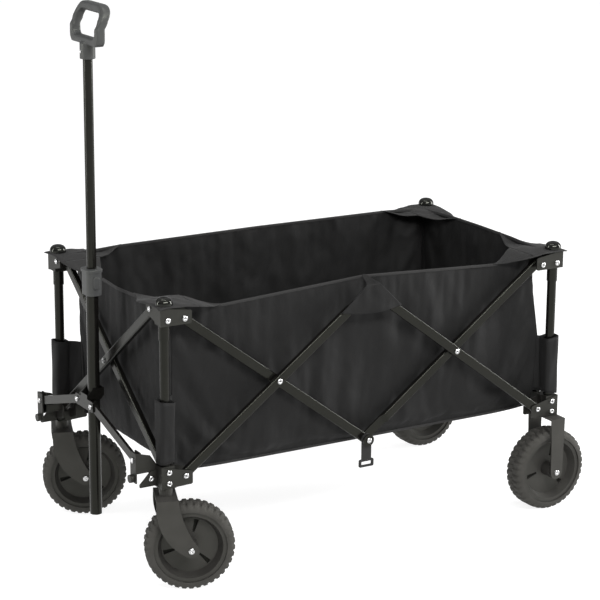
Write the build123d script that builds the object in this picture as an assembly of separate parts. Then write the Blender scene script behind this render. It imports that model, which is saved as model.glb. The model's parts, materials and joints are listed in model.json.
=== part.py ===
from build123d import *
import os
from math import acos, atan2, cos, hypot, pi, radians, sin

# Folding wagon, in mm. X points forward to the pull handle, Y to the left, Z up, and the wheels stand on Z = 0.

# ---- Driving dimensions ----

# Scissor frame
half_span = 416.0  # along the ground between the two end pivots of one crossing bar
pivot_rise = 312.0  # between a low pivot and the high pivot above it
folded_span = 100.0  # what is left of half_span when the frame is folded
end_pivot_lift = 15.0  # the end bars' pivots stand this much above the side bars'
side_arm = 36.0  # from a post's axis to the side bars' pivots

# Crossing bars
bar_width = 19.0
bar_depth = 12.0
bar_corner = 3.0
layer_gap = 1.0  # between the outer and the inner bar of a crossing
eye_length = 52.0  # flattened stretch before a pivot that two bars in one layer share
eye_taper = 12.0
eye_gap = 0.6  # between the two flattened eyes

# Rivets and pins
rivet_r = 3.0
rivet_head_r = 5.0
rivet_head_h = 2.2
pin_clearance = 0.15
seat_gap = 0.3

# Telescoping corner posts
post_r = 9.5
post_wall = 1.2
post_fit = 0.3
collar_r = 11.0
collar_length = 30.0
collar_round = 0.9
post_overlap = 262.0  # inner tube inside the outer one when the wagon stands open

# Corner brackets
plate = 2.5
bracket_gap = 0.5  # between a bar and the bracket plate beside it
end_bar_gap = 2.5  # between an end bar's edge and the side bar's plate
socket_half = 13.0  # of the block round the post
socket_rise = 24.0  # from the low pivot to the top of the lower block
socket_drop = 20.0  # from the low pivot to the underside of the lower block
cap_rise = 25.0  # from the high pivot to the top of the upper block
cap_drop = 11.0  # from the high pivot to the underside of the upper block
ear_overhang = 15.0  # of an ear past its pivot
ear_low_drop = 18.0  # of a lower ear's end below its pivot
ear_low_rise = 8.0
ear_high_drop = 11.0
ear_high_rise = 15.0
ear_corner = 4.0
socket_rivet_pitch = 22.0  # between the two rivets through the lower block and the post
socket_rivet_z = 10.0  # of the lower one above the block's underside

# Knobs on the posts
knob_r = 17.0
knob_h = 14.0
knob_roundness = 0.7  # of the knob's radius, taken by the round of its dome
knob_stem_r = 6.0

# Wheels
wheel_r = 87.5
wheel_width = 50.0
tyre_wall = 16.5  # thickness of the tyre between tread and bead
tyre_lugs = 38
tyre_groove = 3.0  # depth between two lugs
lug_share = 0.56  # of the pitch, taken by a lug's flat top
groove_share = 0.2  # of the pitch, taken by a groove's flat floor
tyre_shoulder = 9.0  # width of the shoulder's slope
tyre_shoulder_drop = 8.5  # height of the shoulder's slope
dish_edge = 8.0  # width of the rim's flat edge, inward from the bead
dish_slope = 8.0  # how much smaller the dish is at the web than at its mouth
rim_inset = 3.0  # of the rim's edge from the tyre's side
web_thickness = 12.0
hub_r = 15.0
hub_length = 68.0
axle_r = 5.0
axle_clearance = 0.3
web_slots = 3
web_slot_turn = 105.0  # of the first slot from the forward direction
web_slot_hub_gap = 12.0  # between the hub and a slot's narrow end
web_slot_rim_gap = 2.0  # between the dish's wall and a slot's wide end
web_slot_depth = 4.5
web_slot_narrow = 4.0
web_slot_wide = 9.5

# Forks
fork_half_inside = 38.5
fork_plate = 3.0
rear_strap_width = 34.0
axle_eye_r = 14.5
castor_trail = 45.0
castor_swivel = 22.0  # how far both castors stand turned, in degrees
castor_neck_r = 13.0
castor_neck_height = 16.0  # from the fork's top plate to the bracket
castor_neck_gap = 0.3
castor_top_half = 21.0
castor_shoulder = 15.0  # straight front edge below the top plate
castor_bow = 15.0  # of the front edge ahead of its chord
castor_hollow = 7.0  # of the rear edge ahead of its chord
castor_clear = 12.0  # between a castor wheel's tread and the fork's top plate
castor_eye_turn = 60.0  # where the side plate's curved edges meet the axle's eye, in degrees

# Pull handle
handle_offset = 36.0  # of the handle's axis ahead of the front posts
handle_lift = 15.0  # of the handle's pivot above the links' upper rivets
handle_tail = 250.0  # of the outer tube below its pivot
handle_outer_rise = 250.0  # of the outer tube above its pivot
handle_outer_r = 12.0
handle_wall = 1.3
handle_inner_r = 9.5
handle_travel = 390.0
handle_overlap = 96.0  # inner tube inside the outer one when pulled out

# Clamp at the outer tube's top
clamp_length = 52.0
clamp_overhang = 6.0  # past the tube's end
clamp_width = 40.0
clamp_depth = 32.0
clamp_corner = 12.0
clamp_lip = 6.0  # height of the lip
clamp_lip_reach = 1.5
button_length = 26.0
button_width = 13.0
button_proud = 3.0

# Grip
grip_rise = 444.0  # of the loop's underside above the outer tube's end, when pulled out
grip_height = 78.0
grip_width = 122.0
grip_low_corner = 12.0
grip_top_corner = 28.0
grip_open_corner = 8.0  # of the opening, at its bottom
grip_bend = 24.0  # height at which the sides start to lean back
grip_bar = 15.0  # thickness of the loop, seen from the front
grip_depth = 20.0  # of the loop, from front to back
grip_offset = 16.0  # of the top bar behind the handle's axis
grip_edge = 4.0
grip_socket_length = 28.0
grip_socket_r = 15.0

# Handle linkage
link_low_inset = 22.0  # of a link's low pivot inward from the post's axis
link_low_rise = 36.0  # of a link's low pivot above the side bars' low pivots
yoke_half_pitch = 31.0
yoke_rise = 55.0  # of a link's upper pivot above its low pivot
link_width = 17.0
link_depth = 6.0
link_gap = 1.0  # between the handle tube and a link
yoke_bolt_r = 4.0
yoke_lip = 8.0  # of the yoke's face above its shelf
arm_rise = 16.0  # of the forward arm above the link's pivot
arm_drop = 25.0  # of the arm's underside below the link's pivot
arm_slope = 8.0  # of the arm's top, down towards the bracket
arm_near = 27.0  # of the top's rear end ahead of the post's axis
arm_inner_height = 15.0  # of the arm's inner side
gusset_lift = 3.0  # of the plate below the arm, above the bracket's underside
gusset_reach = 51.0  # of its tip ahead of the post's axis
gusset_top_reach = 27.0  # of its upper end
gusset_tip = 6.0
bumper_r = 8.0
bumper_length = 8.0
bumper_drop = 11.0  # of its axis below the arm's underside

# Fabric tub
tub_gap = 18.0  # of the tub's rim inside the post axes
tub_taper = 24.0  # how much further in the tub's floor lies
tub_side_gap = 12.0  # between an end wall's edge and the side wall
floor_side_gap = 2.0
cloth = 3.0
tub_floor_drop = 1.0  # of the floor's underside below the side bars' low pivots
sleeve_lift = 30.0  # of a sleeve's lower end above the side bars' low pivots
sleeve_length = 121.0
sleeve_width = 34.0
sleeve_corner = 11.0
pocket_half = 75.0
pocket_height = 60.0
pocket_neck = 16.0
flap_reach = 62.0
flap_corner = 7.8  # cut off the flap's outer corner

# Strap tabs below the middle of each side
tab_width = 22.0
tab_length = 42.0
tab_head_width = 34.0
tab_head_height = 16.0
tab_slot_width = 24.0
tab_slot_height = 7.5
tab_thickness = 3.0
tab_disc_r = 12.0

# ---- Derived sizes ----

bar_length = hypot(half_span, pivot_rise)
open_angle = atan2(pivot_rise, half_span)
folded_angle = acos(folded_span / bar_length)
fold_travel = folded_angle - open_angle

ear_inside = bar_depth + layer_gap / 2 + bracket_gap  # of a bracket's plates, from the post's axis
ear_outside = ear_inside + plate
end_arm = ear_outside + bar_width / 2 + end_bar_gap  # from a post's axis to the end bars' pivots
castor_top = wheel_r * 2 + castor_clear + fork_plate
socket_base = castor_top + castor_neck_height
low_pivot_z = socket_base + socket_drop
post_x = half_span + side_arm
post_y = half_span / 2 + end_arm
high_pivot_z = low_pivot_z + pivot_rise
end_low_z = low_pivot_z + end_pivot_lift
end_high_z = end_low_z + pivot_rise

layer = (bar_depth + layer_gap) / 2  # of a bar's middle from the plane of the posts
cap_top = high_pivot_z + cap_rise
cap_base = high_pivot_z - cap_drop
socket_top = low_pivot_z + socket_rise
collar_top = cap_base - seat_gap
inner_post_r = post_r - post_wall - post_fit

fork_outside = fork_half_inside + fork_plate
bead_r = wheel_r - tyre_wall
dish_r = bead_r - dish_edge
web_r = dish_r - dish_slope

link_low_z = low_pivot_z + link_low_rise
yoke_pivot_z = link_low_z + yoke_rise
handle_pivot_z = yoke_pivot_z + handle_lift
handle_tail_z = handle_pivot_z - handle_tail
handle_outer_top = handle_pivot_z + handle_outer_rise
handle_inner_base = handle_outer_top - handle_overlap
grip_base_z = handle_outer_top + grip_rise
handle_x = post_x + handle_offset
link_near = handle_outer_r + link_gap  # of the links' rear faces ahead of the handle's axis
link_x = handle_x + link_near + link_depth / 2
yoke_plate_x = link_x + link_depth / 2 + bracket_gap
link_low_y = post_y - link_low_inset
link_run = link_low_y - yoke_half_pitch
link_length = hypot(link_run, yoke_rise)
link_open_angle = atan2(yoke_rise, link_run)
folded_post_y = folded_span / 2 + end_arm
link_folded_angle = acos((folded_post_y - link_low_inset - yoke_half_pitch) / link_length)
link_travel = link_folded_angle - link_open_angle

flap_base = cap_top + seat_gap
rim_z = flap_base + plate
tub_floor_z = low_pivot_z - tub_floor_drop
sleeve_z = low_pivot_z + sleeve_lift
tub_x = post_x - tub_gap
tub_y = post_y - tub_gap
floor_hinge_x = tub_x - tub_taper - cloth - seat_gap
folded_post_x = folded_span + side_arm
floor_travel = acos((folded_post_x - post_x + floor_hinge_x) / floor_hinge_x)


# ---- Helpers ----


def block(x0, x1, y0, y1, z0, z1):
    """A box between two corners."""
    return Pos((x0 + x1) / 2, (y0 + y1) / 2, (z0 + z1) / 2) * Box(x1 - x0, y1 - y0, z1 - z0)


def rod(radius, z0, z1):
    """An upright round bar."""
    return Pos(0, 0, z0) * extrude(Circle(radius), amount=z1 - z0)


def rod_y(radius, x, z, y0, y1):
    """A round bar along Y."""
    return Plane.XZ.offset(-y1) * (Pos(x, z) * extrude(Circle(radius), amount=y1 - y0))


def rod_x(radius, y, z, x0, x1):
    """A round bar along X."""
    return Plane.YZ.offset(x0) * (Pos(y, z) * extrude(Circle(radius), amount=x1 - x0))


def upright_along_x(outline, y0, y1):
    """A plate in the XZ plane, from an outline of (x, z)."""
    return extrude(Plane.XZ.offset(-y1) * outline, amount=y1 - y0)


def upright_along_y(outline, x0, x1):
    """A plate in the YZ plane, from an outline of (y, z)."""
    return extrude(Plane.YZ.offset(x0) * outline, amount=x1 - x0)


def polygon(*points):
    """A flat face inside straight edges."""
    return make_face(Polyline(*points, close=True))


def solid_of(shape):
    """The one solid of a finished piece."""
    return shape.solids()[0] if len(shape.solids()) == 1 else shape


def at_corner(shape, front, left):
    """A piece made about the front left post's axis, moved to its own corner."""
    if not front and not left:
        shape = Rot(0, 0, 180) * shape
    elif not front:
        shape = mirror(shape, about=Plane.YZ)
    elif not left:
        shape = mirror(shape, about=Plane.XZ)
    return Pos(post_x if front else -post_x, post_y if left else -post_y, 0) * shape


# ---- Corner posts and brackets, made about the front left post ----


def lower_post():
    """Outer tube with the plastic guide collar at its top."""
    bore = post_r - post_wall
    tube = rod(post_r, socket_base + plate, collar_top)
    collar = rod(collar_r, collar_top - collar_length, collar_top)
    collar = fillet(collar.edges().group_by(Axis.Z)[0], collar_round)
    return tube + collar - rod(bore, socket_base + plate, collar_top)


def upper_post():
    """Inner tube that slides in the outer one."""
    base = collar_top - post_overlap
    tube = rod(inner_post_r, base, cap_top - plate)
    return tube - rod(inner_post_r - post_wall, base, cap_top - plate)


def rivet_along_y(x, z, y0, y1):
    """A rivet across the bracket, with its head at y1."""
    return rod_y(rivet_r, x, z, y0, y1) + rod_y(rivet_head_r, x, z, y1, y1 + rivet_head_h)


def rivet_along_x(y, z, x0, x1):
    """A rivet through the bracket from front to back, with its head at x1."""
    return rod_x(rivet_r, y, z, x0, x1) + rod_x(rivet_head_r, y, z, x1, x1 + rivet_head_h)


def ear_outline(arm, pivot_z, drop, rise, near, z0, z1):
    """Outline of an ear: from z0 to z1 at the post, sloping to its rounded end past the pivot."""
    end = -arm - ear_overhang
    outline = polygon((near, z0), (end, pivot_z - drop), (end, pivot_z + rise), (near, z1))
    return fillet(outline.vertices().group_by(Axis.X)[0], ear_corner)


def side_ears(pivot_z, drop, rise, z0, z1):
    """The two plates that hold a side bar; the outer one wraps round the bracket's corner."""
    outer = ear_outline(side_arm, pivot_z, drop, rise, ear_outside, z0, z1)
    inner = ear_outline(side_arm, pivot_z, drop, rise, 0, z0, z1)
    ears = upright_along_x(outer, ear_inside, ear_outside)
    ears += upright_along_x(inner, -ear_outside, -ear_inside)
    return ears + rivet_along_y(-side_arm, pivot_z, -ear_outside, ear_outside)


def side_bush(pivot_z, outer):
    """Spacer on the side rivet, in the layer that the bar leaves empty."""
    clear = layer_gap / 2
    if outer:
        return rod_y(rivet_head_r, -side_arm, pivot_z, clear, ear_inside)
    return rod_y(rivet_head_r, -side_arm, pivot_z, -ear_inside, -clear)


def end_ears(pivot_z, drop, rise, z0, z1):
    """The two plates that hold an end bar; the outer one wraps round the bracket's corner."""
    outer = ear_outline(end_arm, pivot_z, drop, rise, ear_outside, z0, z1)
    inner = ear_outline(end_arm, pivot_z, drop, rise, 0, z0, z1)
    ears = upright_along_y(outer, ear_inside, ear_outside)
    ears += upright_along_y(inner, -ear_outside, -ear_inside)
    return ears + rivet_along_x(-end_arm, pivot_z, -ear_outside, ear_outside)


def end_bush(pivot_z, outer):
    """Spacer on the end rivet, in the layer that the bar leaves empty."""
    clear = layer_gap / 2
    if outer:
        return rod_x(rivet_head_r, -end_arm, pivot_z, clear, ear_inside)
    return rod_x(rivet_head_r, -end_arm, pivot_z, -ear_inside, -clear)


def lower_bracket(end_bar_outer):
    """Bottom corner bracket: a socket round the post, four ears and a floor."""
    z0, z1 = socket_base, socket_top
    body = block(-socket_half, socket_half, -socket_half, socket_half, z0, z1)
    body += side_ears(low_pivot_z, ear_low_drop, ear_low_rise, z0, z1)
    body += side_bush(low_pivot_z, outer=False)
    body += end_ears(end_low_z, ear_low_drop, ear_low_rise, z0, z1)
    body += end_bush(end_low_z, outer=not end_bar_outer)
    body += block(-ear_outside, ear_outside, -ear_outside, ear_outside, z0, z0 + plate)
    for z in (z0 + socket_rivet_z, z0 + socket_rivet_z + socket_rivet_pitch):
        body += rivet_along_y(0, z, post_r, ear_outside)
    return body - rod(post_r, z0 + plate, z1)


def upper_bracket(end_bar_outer):
    """Top corner bracket: a cap round the tube, four ears and a roof."""
    z0, z1 = cap_base, cap_top
    body = block(-socket_half, socket_half, -socket_half, socket_half, z0, z1)
    body += side_ears(high_pivot_z, ear_high_drop, ear_high_rise, z0, z1)
    body += side_bush(high_pivot_z, outer=True)
    body += end_ears(end_high_z, ear_high_drop, z1 - end_high_z, z0, z1)
    body += end_bush(end_high_z, outer=not end_bar_outer)
    body += block(-ear_outside, ear_outside, -ear_outside, ear_outside, z1 - plate, z1)
    body += rivet_along_y(0, high_pivot_z, inner_post_r, ear_outside)
    return body - rod(inner_post_r, z0, z1 - plate)


def knob():
    """Domed cap over the bracket, on a stem through the fabric flap."""
    base = rim_z + seat_gap
    cap = rod(knob_r, base, base + knob_h)
    cap = fillet(cap.edges().group_by(Axis.Z)[-1], knob_r * knob_roundness)
    return cap + rod(knob_stem_r, cap_top, base)


# ---- Handle linkage on the front brackets ----


def link_arm():
    """Forward arm of a front bracket: the clevis for a handle link, with its gusset and bumper."""
    back = link_x - link_depth / 2 - bracket_gap - post_x
    front = yoke_plate_x - post_x
    inner = -link_low_inset - link_width / 2 - plate
    outer = -link_low_inset + link_width / 2 + plate
    base = link_low_z - arm_drop
    top = link_low_z + arm_rise
    low = base + arm_inner_height
    bumper_z = base - bumper_drop
    side = polygon(
        (socket_half, base), (front, base), (front, top), (arm_near, top - arm_slope), (socket_half, socket_top)
    )
    arm = upright_along_x(side, outer - plate / 2, outer + plate / 2)
    short = polygon((socket_half, base), (back, base), (back, low), (socket_half, low))
    arm += upright_along_x(short, inner, inner + plate)
    arm += block(front, front + plate, inner, outer + plate / 2, bumper_z - bumper_r, top)
    arm += block(back - plate, back, inner, outer, base, top)
    arm += block(socket_half, front, inner, outer, base, base + plate)
    arm += block(socket_half, ear_outside, inner, outer, base, socket_top)
    arm += rivet_along_x(-link_low_inset, link_low_z, back, front + plate)
    arm += rod_x(bumper_r, -link_low_inset, bumper_z, front + plate, front + plate + bumper_length)
    return arm + gusset(outer + plate / 2, base + plate)


def gusset(y, top):
    """Plate beside the arm, from under it down and forward to a tip."""
    z0 = socket_base + gusset_lift
    outline = polygon(
        (socket_half, z0), (gusset_reach, z0), (gusset_reach, z0 + gusset_tip), (gusset_top_reach, top),
        (socket_half, top),
    )
    outline = fillet(outline.vertices().group_by(Axis.X)[-1], gusset_tip / 3)
    return upright_along_x(outline, y, y + plate) + rivet_along_y(gusset_top_reach, (z0 + top) / 2, y, y + plate)


def handle_link():
    """Flat link from its low pivot, at the origin, along local X."""
    outline = Plane.XZ * Pos(link_length / 2, 0) * SlotCenterToCenter(link_length, link_width)
    body = extrude(outline, amount=link_depth / 2, both=True)
    hole = rivet_r + pin_clearance
    for x in (0, link_length):
        body -= rod_y(hole, x, 0, -link_depth, link_depth)
    return body


def placed_link(left):
    """A link between its bracket and the yoke."""
    low = Vector(link_x, link_low_y, link_low_z)
    high = Vector(link_x, yoke_half_pitch, yoke_pivot_z)
    along = (high - low).normalized()
    link = Plane(origin=low, x_dir=along, z_dir=along.cross(Vector(1, 0, 0))) * handle_link()
    return link if left else mirror(link, about=Plane.XZ)


def yoke():
    """Bracket that joins the links and carries the handle between two stub bolts."""
    cheek_in = handle_outer_r + bracket_gap
    cheek_out = cheek_in + plate
    half = yoke_half_pitch + link_width / 2
    low = yoke_pivot_z - link_width / 2 - plate
    shelf = yoke_pivot_z + link_width / 2 + plate
    rear = -cheek_out
    front = yoke_plate_x - handle_x
    top = handle_pivot_z + cheek_out
    corner = yoke_bolt_r * 2
    face = upright_along_y(polygon((-half, low), (half, low), (half, shelf), (-half, shelf)), front, front + plate)
    face = fillet(face.edges().filter_by(Axis.X), ear_corner)
    outline = polygon(
        (front, shelf - plate), (front, shelf + yoke_lip), (corner, top), (rear, top), (rear, handle_pivot_z),
        (-corner, handle_pivot_z - corner), (0, shelf - plate),
    )
    body = face + upright_along_x(outline, cheek_in, cheek_out) + upright_along_x(outline, -cheek_out, -cheek_in)
    body += block(rear, rear + plate, -cheek_out, cheek_out, handle_pivot_z + corner, top)
    body += block(front, front + plate, -cheek_out, cheek_out, shelf - plate, shelf + yoke_lip)
    bolt = rod_y(yoke_bolt_r, 0, handle_pivot_z, handle_outer_r - handle_wall, cheek_out)
    bolt += rod_y(rivet_head_r + plate, 0, handle_pivot_z, cheek_out, cheek_out + rivet_head_h)
    body += bolt + mirror(bolt, about=Plane.XZ)
    body += rivet_along_x(yoke_half_pitch, yoke_pivot_z, front - link_depth - bracket_gap, front + plate)
    body += rivet_along_x(-yoke_half_pitch, yoke_pivot_z, front, front + plate)
    return Pos(handle_x, 0, 0) * body


# ---- Pull handle ----


def handle_outer():
    """Outer tube, from its tail below the pivot to the collar."""
    tube = rod(handle_outer_r, handle_tail_z, handle_outer_top)
    tube -= rod(handle_outer_r - handle_wall, handle_tail_z, handle_outer_top)
    tube -= rod_y(yoke_bolt_r + pin_clearance, 0, handle_pivot_z, -handle_outer_r, handle_outer_r)
    return Pos(handle_x, 0, 0) * tube


def handle_collar():
    """Moulded clamp at the outer tube's top, with its release button."""
    top = handle_outer_top + clamp_overhang
    base = top - clamp_length
    reach = clamp_lip_reach * 2
    sleeve = extrude(Pos(0, 0, base) * RectangleRounded(clamp_depth, clamp_width, clamp_corner), amount=clamp_length)
    lip_outline = RectangleRounded(clamp_depth + reach, clamp_width + reach, clamp_corner)
    lip = extrude(Pos(0, 0, top - clamp_lip) * lip_outline, amount=clamp_lip)
    lip = fillet(lip.edges().group_by(Axis.Z)[-1], clamp_lip_reach)
    button_plane = Plane.XZ.offset(-clamp_width / 2 - button_proud) * Pos(0, (base + top) / 2)
    button = extrude(button_plane * SlotOverall(button_length, button_width, rotation=90), amount=clamp_corner)
    button = fillet(button.edges().group_by(Axis.Y)[-1], button_proud / 2)
    body = sleeve + lip + button - rod(handle_outer_r, base, handle_outer_top)
    body -= rod(handle_inner_r + post_fit, handle_outer_top, top)
    return Pos(handle_x, 0, 0) * body


def handle_inner():
    """Inner tube that slides in the outer one."""
    tube = rod(handle_inner_r, handle_inner_base, grip_base_z)
    tube -= rod(handle_inner_r - handle_wall, handle_inner_base, grip_base_z)
    return Pos(handle_x, 0, 0) * tube


def grip_side():
    """Outline of the grip from the side: upright, then leaning back, then upright again."""
    half = grip_depth / 2
    low, high = grip_base_z, grip_base_z + grip_height
    bend_low, bend_high = low + grip_bend, high - grip_top_corner
    upright = ((0, 1), (0, 1))
    edges = Polyline((half, bend_low), (half, low), (-half, low), (-half, bend_low))
    edges += Spline((-half, bend_low), (-half - grip_offset, bend_high), tangents=upright)
    edges += Polyline(
        (-half - grip_offset, bend_high), (-half - grip_offset, high), (half - grip_offset, high),
        (half - grip_offset, bend_high),
    )
    edges += Spline((half, bend_low), (half - grip_offset, bend_high), tangents=upright)
    return make_face(edges)


def grip_front(margin, low_corner):
    """Outline of the grip from the front, margin inside its edge."""
    half = grip_width / 2 - margin
    low, high = grip_base_z + margin, grip_base_z + grip_height - margin
    outline = polygon((-half, low), (half, low), (half, high), (-half, high))
    outline = fillet(outline.vertices().group_by(Axis.Y)[0], low_corner)
    return fillet(outline.vertices().group_by(Axis.Y)[-1], grip_top_corner - margin)


def grip():
    """Closed D grip whose top bar lies behind the handle's axis, on its socket."""
    base = grip_base_z
    loop = grip_front(0, grip_low_corner) - grip_front(grip_bar, grip_open_corner)
    loop = extrude(Plane.YZ * loop, amount=grip_offset + grip_depth, both=True)
    loop &= extrude(Plane.XZ * grip_side(), amount=grip_width, both=True)
    loop = fillet(loop.edges().filter_by(Axis.X, reverse=True), grip_edge)
    socket = rod(grip_socket_r, base - grip_socket_length, base + grip_edge)
    socket -= rod(handle_inner_r, base - grip_socket_length, base)
    return Pos(handle_x, 0, 0) * (loop + socket)


# ---- Crossing bars ----


def bar(eye=None):
    """A crossing bar along local X from a pivot at the origin, outward along local Y.

    eye is None for full ends, or "outer" or "inner" for a flattened far end.
    """
    half = bar_depth / 2
    end = bar_width / 2
    body = extrude(
        Plane.YZ.offset(-end) * RectangleRounded(bar_depth, bar_width, bar_corner), amount=bar_length + 2 * end
    )
    silhouette = Plane.XZ * Pos(bar_length / 2, 0) * SlotCenterToCenter(bar_length, bar_width)
    body &= extrude(silhouette, amount=bar_depth, both=True)
    if eye:
        cut = block(bar_length - eye_length, bar_length + bar_width, -half, eye_gap / 2, -bar_width, bar_width)
        wedge = Plane.XY * polygon((-eye_taper, -half), (0, -half), (0, eye_gap / 2))
        cut += extrude(Pos(bar_length - eye_length, 0, 0) * wedge, amount=bar_width, both=True)
        body -= mirror(cut, about=Plane.XZ) if eye == "inner" else cut
    return body


def pin_hole(x):
    """What a rivet's running hole takes out of a bar."""
    return rod_y(rivet_r + pin_clearance, x, 0, -bar_depth, bar_depth)


def rivet(x, y0, y1, head_low, head_high):
    """A rivet across a bar, with its heads past y0 and y1 where they are wanted."""
    body = rod_y(rivet_r, x, 0, y0, y1)
    if head_low:
        body += rod_y(rivet_head_r, x, 0, y0 - rivet_head_h, y0)
    if head_high:
        body += rod_y(rivet_head_r, x, 0, y1, y1 + rivet_head_h)
    return body


def outer_bar(eye, mid_pin):
    """A bar of the outer layer, which carries the rivet at its crossing."""
    half = bar_depth / 2
    reach = half + layer_gap + bar_depth
    body = bar(eye) - pin_hole(0)
    body += rivet(bar_length / 2, -reach - pin_clearance, half, True, True)
    if not mid_pin:
        return body - pin_hole(bar_length)
    return body + rivet(bar_length, -half - pin_clearance, half, True, True)


def inner_bar(eye, mid_pin):
    """A bar of the inner layer, which turns on the outer bar's rivet."""
    half = bar_depth / 2
    body = bar(eye) - pin_hole(0) - pin_hole(bar_length / 2)
    if not mid_pin:
        return body - pin_hole(bar_length)
    body += rivet(bar_length, -half - pin_clearance, half + bar_depth, True, False)
    return body + rod_y(tab_disc_r, bar_length, 0, half + bar_depth - plate, half + bar_depth)


def side_bar_place(start, end, outward_layer):
    """Where a left side bar lies, from its corner pivot to its middle pivot."""
    y = post_y + outward_layer
    origin = Vector(start[0], y, start[1])
    along = (Vector(end[0], y, end[1]) - origin).normalized()
    return Plane(origin=origin, x_dir=along, z_dir=along.cross(Vector(0, 1, 0)))


def end_bar_place(start, end, outward_layer):
    """Where a front end bar lies, from one corner's pivot to the other's."""
    x = post_x + outward_layer
    origin = Vector(x, start[0], start[1])
    along = (Vector(x, end[0], end[1]) - origin).normalized()
    return Plane(origin=origin, x_dir=along, z_dir=along.cross(Vector(1, 0, 0)))


def side_bars():
    """The four bars of the left side, by name."""
    x = half_span
    low, high = low_pivot_z, high_pivot_z
    return {
        "front_rising": side_bar_place((x, low), (0, high), layer) * outer_bar("outer", True),
        "front_falling": side_bar_place((x, high), (0, low), -layer) * inner_bar("outer", True),
        "rear_rising": side_bar_place((-x, low), (0, high), layer) * outer_bar("inner", False),
        "rear_falling": side_bar_place((-x, high), (0, low), -layer) * inner_bar("inner", False),
    }


def end_bars():
    """The two bars of the front end, by name."""
    y = post_y - end_arm
    return {
        "outer": end_bar_place((y, end_high_z), (-y, end_low_z), layer) * outer_bar(None, False),
        "inner": end_bar_place((y, end_low_z), (-y, end_high_z), -layer) * inner_bar(None, False),
    }


def strap_tab():
    """Webbing tab with its slotted ring, below the middle pivot of the left side."""
    inner = post_y - layer + bar_depth / 2 + layer_gap
    outer = inner + tab_thickness
    top = low_pivot_z
    ring_top = top - tab_length
    ring_z = ring_top - tab_head_height / 2
    body = block(-tab_width / 2, tab_width / 2, inner, outer, ring_top, top)
    body += rod_y(tab_disc_r, 0, top, inner, outer)
    ring = Plane.XZ.offset(-outer) * Pos(0, ring_z)
    body += extrude(ring * RectangleRounded(tab_head_width, tab_head_height, tab_thickness), amount=tab_thickness)
    body -= extrude(ring * RectangleRounded(tab_slot_width, tab_slot_height, tab_thickness / 2), amount=tab_thickness)
    return body - rod_y(rivet_r + pin_clearance, 0, top, inner, outer)


# ---- Wheels and forks ----


def lug_outline(scale):
    """Outline of the lugged tread, with a lug's flat top at the bottom; scale shrinks it."""
    pitch = 2 * pi / tyre_lugs
    top = lug_share * pitch / 2
    floor = pitch / 2 - groove_share * pitch / 2
    crest, groove = wheel_r / cos(top), wheel_r - tyre_groove
    points = []
    for lug in range(tyre_lugs):
        middle_turn = lug * pitch - pi / 2
        for turn, radius in ((-floor, groove), (-top, crest), (top, crest), (floor, groove)):
            angle = middle_turn + turn
            points.append((scale * radius * cos(angle), scale * radius * sin(angle)))
    return polygon(*points)


def tyre():
    """Tyre about the Y axis, at the origin."""
    half = wheel_width / 2
    side = half - tyre_shoulder
    tip = 1 - tyre_shoulder_drop / wheel_r
    sections = ((-half, tip), (-side, 1), (side, 1), (half, tip))
    body = loft([Plane.XZ.offset(-y) * lug_outline(scale) for y, scale in sections], ruled=True)
    bore = RegularPolygon(bead_r, tyre_lugs, major_radius=False)
    return body - upright_along_x(bore, -half, half)


def rim():
    """One-piece rim about the Y axis: dished ring, slotted web and hub."""
    half = wheel_width / 2 - rim_inset
    web = web_thickness / 2
    outline = make_face(Polyline(
        (bead_r, -half), (bead_r, half), (dish_r, half), (web_r, web), (hub_r, web), (hub_r, hub_length / 2),
        (axle_r + axle_clearance, hub_length / 2), (axle_r + axle_clearance, -hub_length / 2),
        (hub_r, -hub_length / 2), (hub_r, -web), (web_r, -web), (dish_r, -half), close=True,
    ))
    body = revolve(outline, axis=Axis.Y)
    start, end = hub_r + web_slot_hub_gap, web_r - web_slot_rim_gap
    narrow, wide = web_slot_narrow / 2, web_slot_wide / 2
    slot = polygon((start, -narrow), (end, -wide), (end, wide), (start, narrow))
    slots = upright_along_x(slot, web - web_slot_depth, web) + upright_along_x(slot, -web, web_slot_depth - web)
    for turn in range(web_slots):
        body -= Rot(0, -web_slot_turn - 360 / web_slots * turn, 0) * slots
    return body


def axle(x):
    """Wheel axle between the fork's plates, with its round heads."""
    body = rod_y(axle_r, x, wheel_r, -fork_outside, fork_outside)
    body += rod_y(rivet_head_r, x, wheel_r, fork_outside, fork_outside + rivet_head_h)
    return body + rod_y(rivet_head_r, x, wheel_r, -fork_outside - rivet_head_h, -fork_outside)


def rear_fork():
    """Fixed fork about the post's axis: a bridge plate and two tapering straps."""
    half = rear_strap_width / 2
    top = socket_base - seat_gap
    taper = polygon((-half, top), (half, top), (axle_eye_r, wheel_r), (-axle_eye_r, wheel_r))
    straps = upright_along_x(taper, fork_half_inside, fork_outside)
    straps += rod_y(axle_eye_r, 0, wheel_r, fork_half_inside, fork_outside)
    straps += mirror(straps, about=Plane.XZ)
    bridge = block(-half, half, -fork_outside, fork_outside, top - fork_plate, top)
    return straps + bridge + axle(0)


def castor_side():
    """Horn-shaped side plate of a castor fork, in the XZ plane."""
    half = castor_top_half
    top = castor_top
    shoulder_z = top - castor_shoulder
    eye = axle_eye_r
    short, long = eye * cos(radians(castor_eye_turn)), eye * sin(radians(castor_eye_turn))
    eye_front = (short - castor_trail, wheel_r - long)
    eye_low = (-castor_trail - short, wheel_r - long)
    eye_rear = (-castor_trail - long, wheel_r + short)
    bow = ((half + eye_front[0]) / 2 + castor_bow, (shoulder_z + eye_front[1]) / 2 - castor_bow / 2)
    hollow = ((-half + eye_rear[0]) / 2 + castor_hollow, (top + eye_rear[1]) / 2)
    edges = Polyline((-half, top), (half, top), (half, shoulder_z))
    edges += ThreePointArc((half, shoulder_z), bow, eye_front)
    edges += ThreePointArc(eye_front, eye_low, eye_rear)
    edges += ThreePointArc(eye_rear, hollow, (-half, top))
    return make_face(edges)


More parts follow.
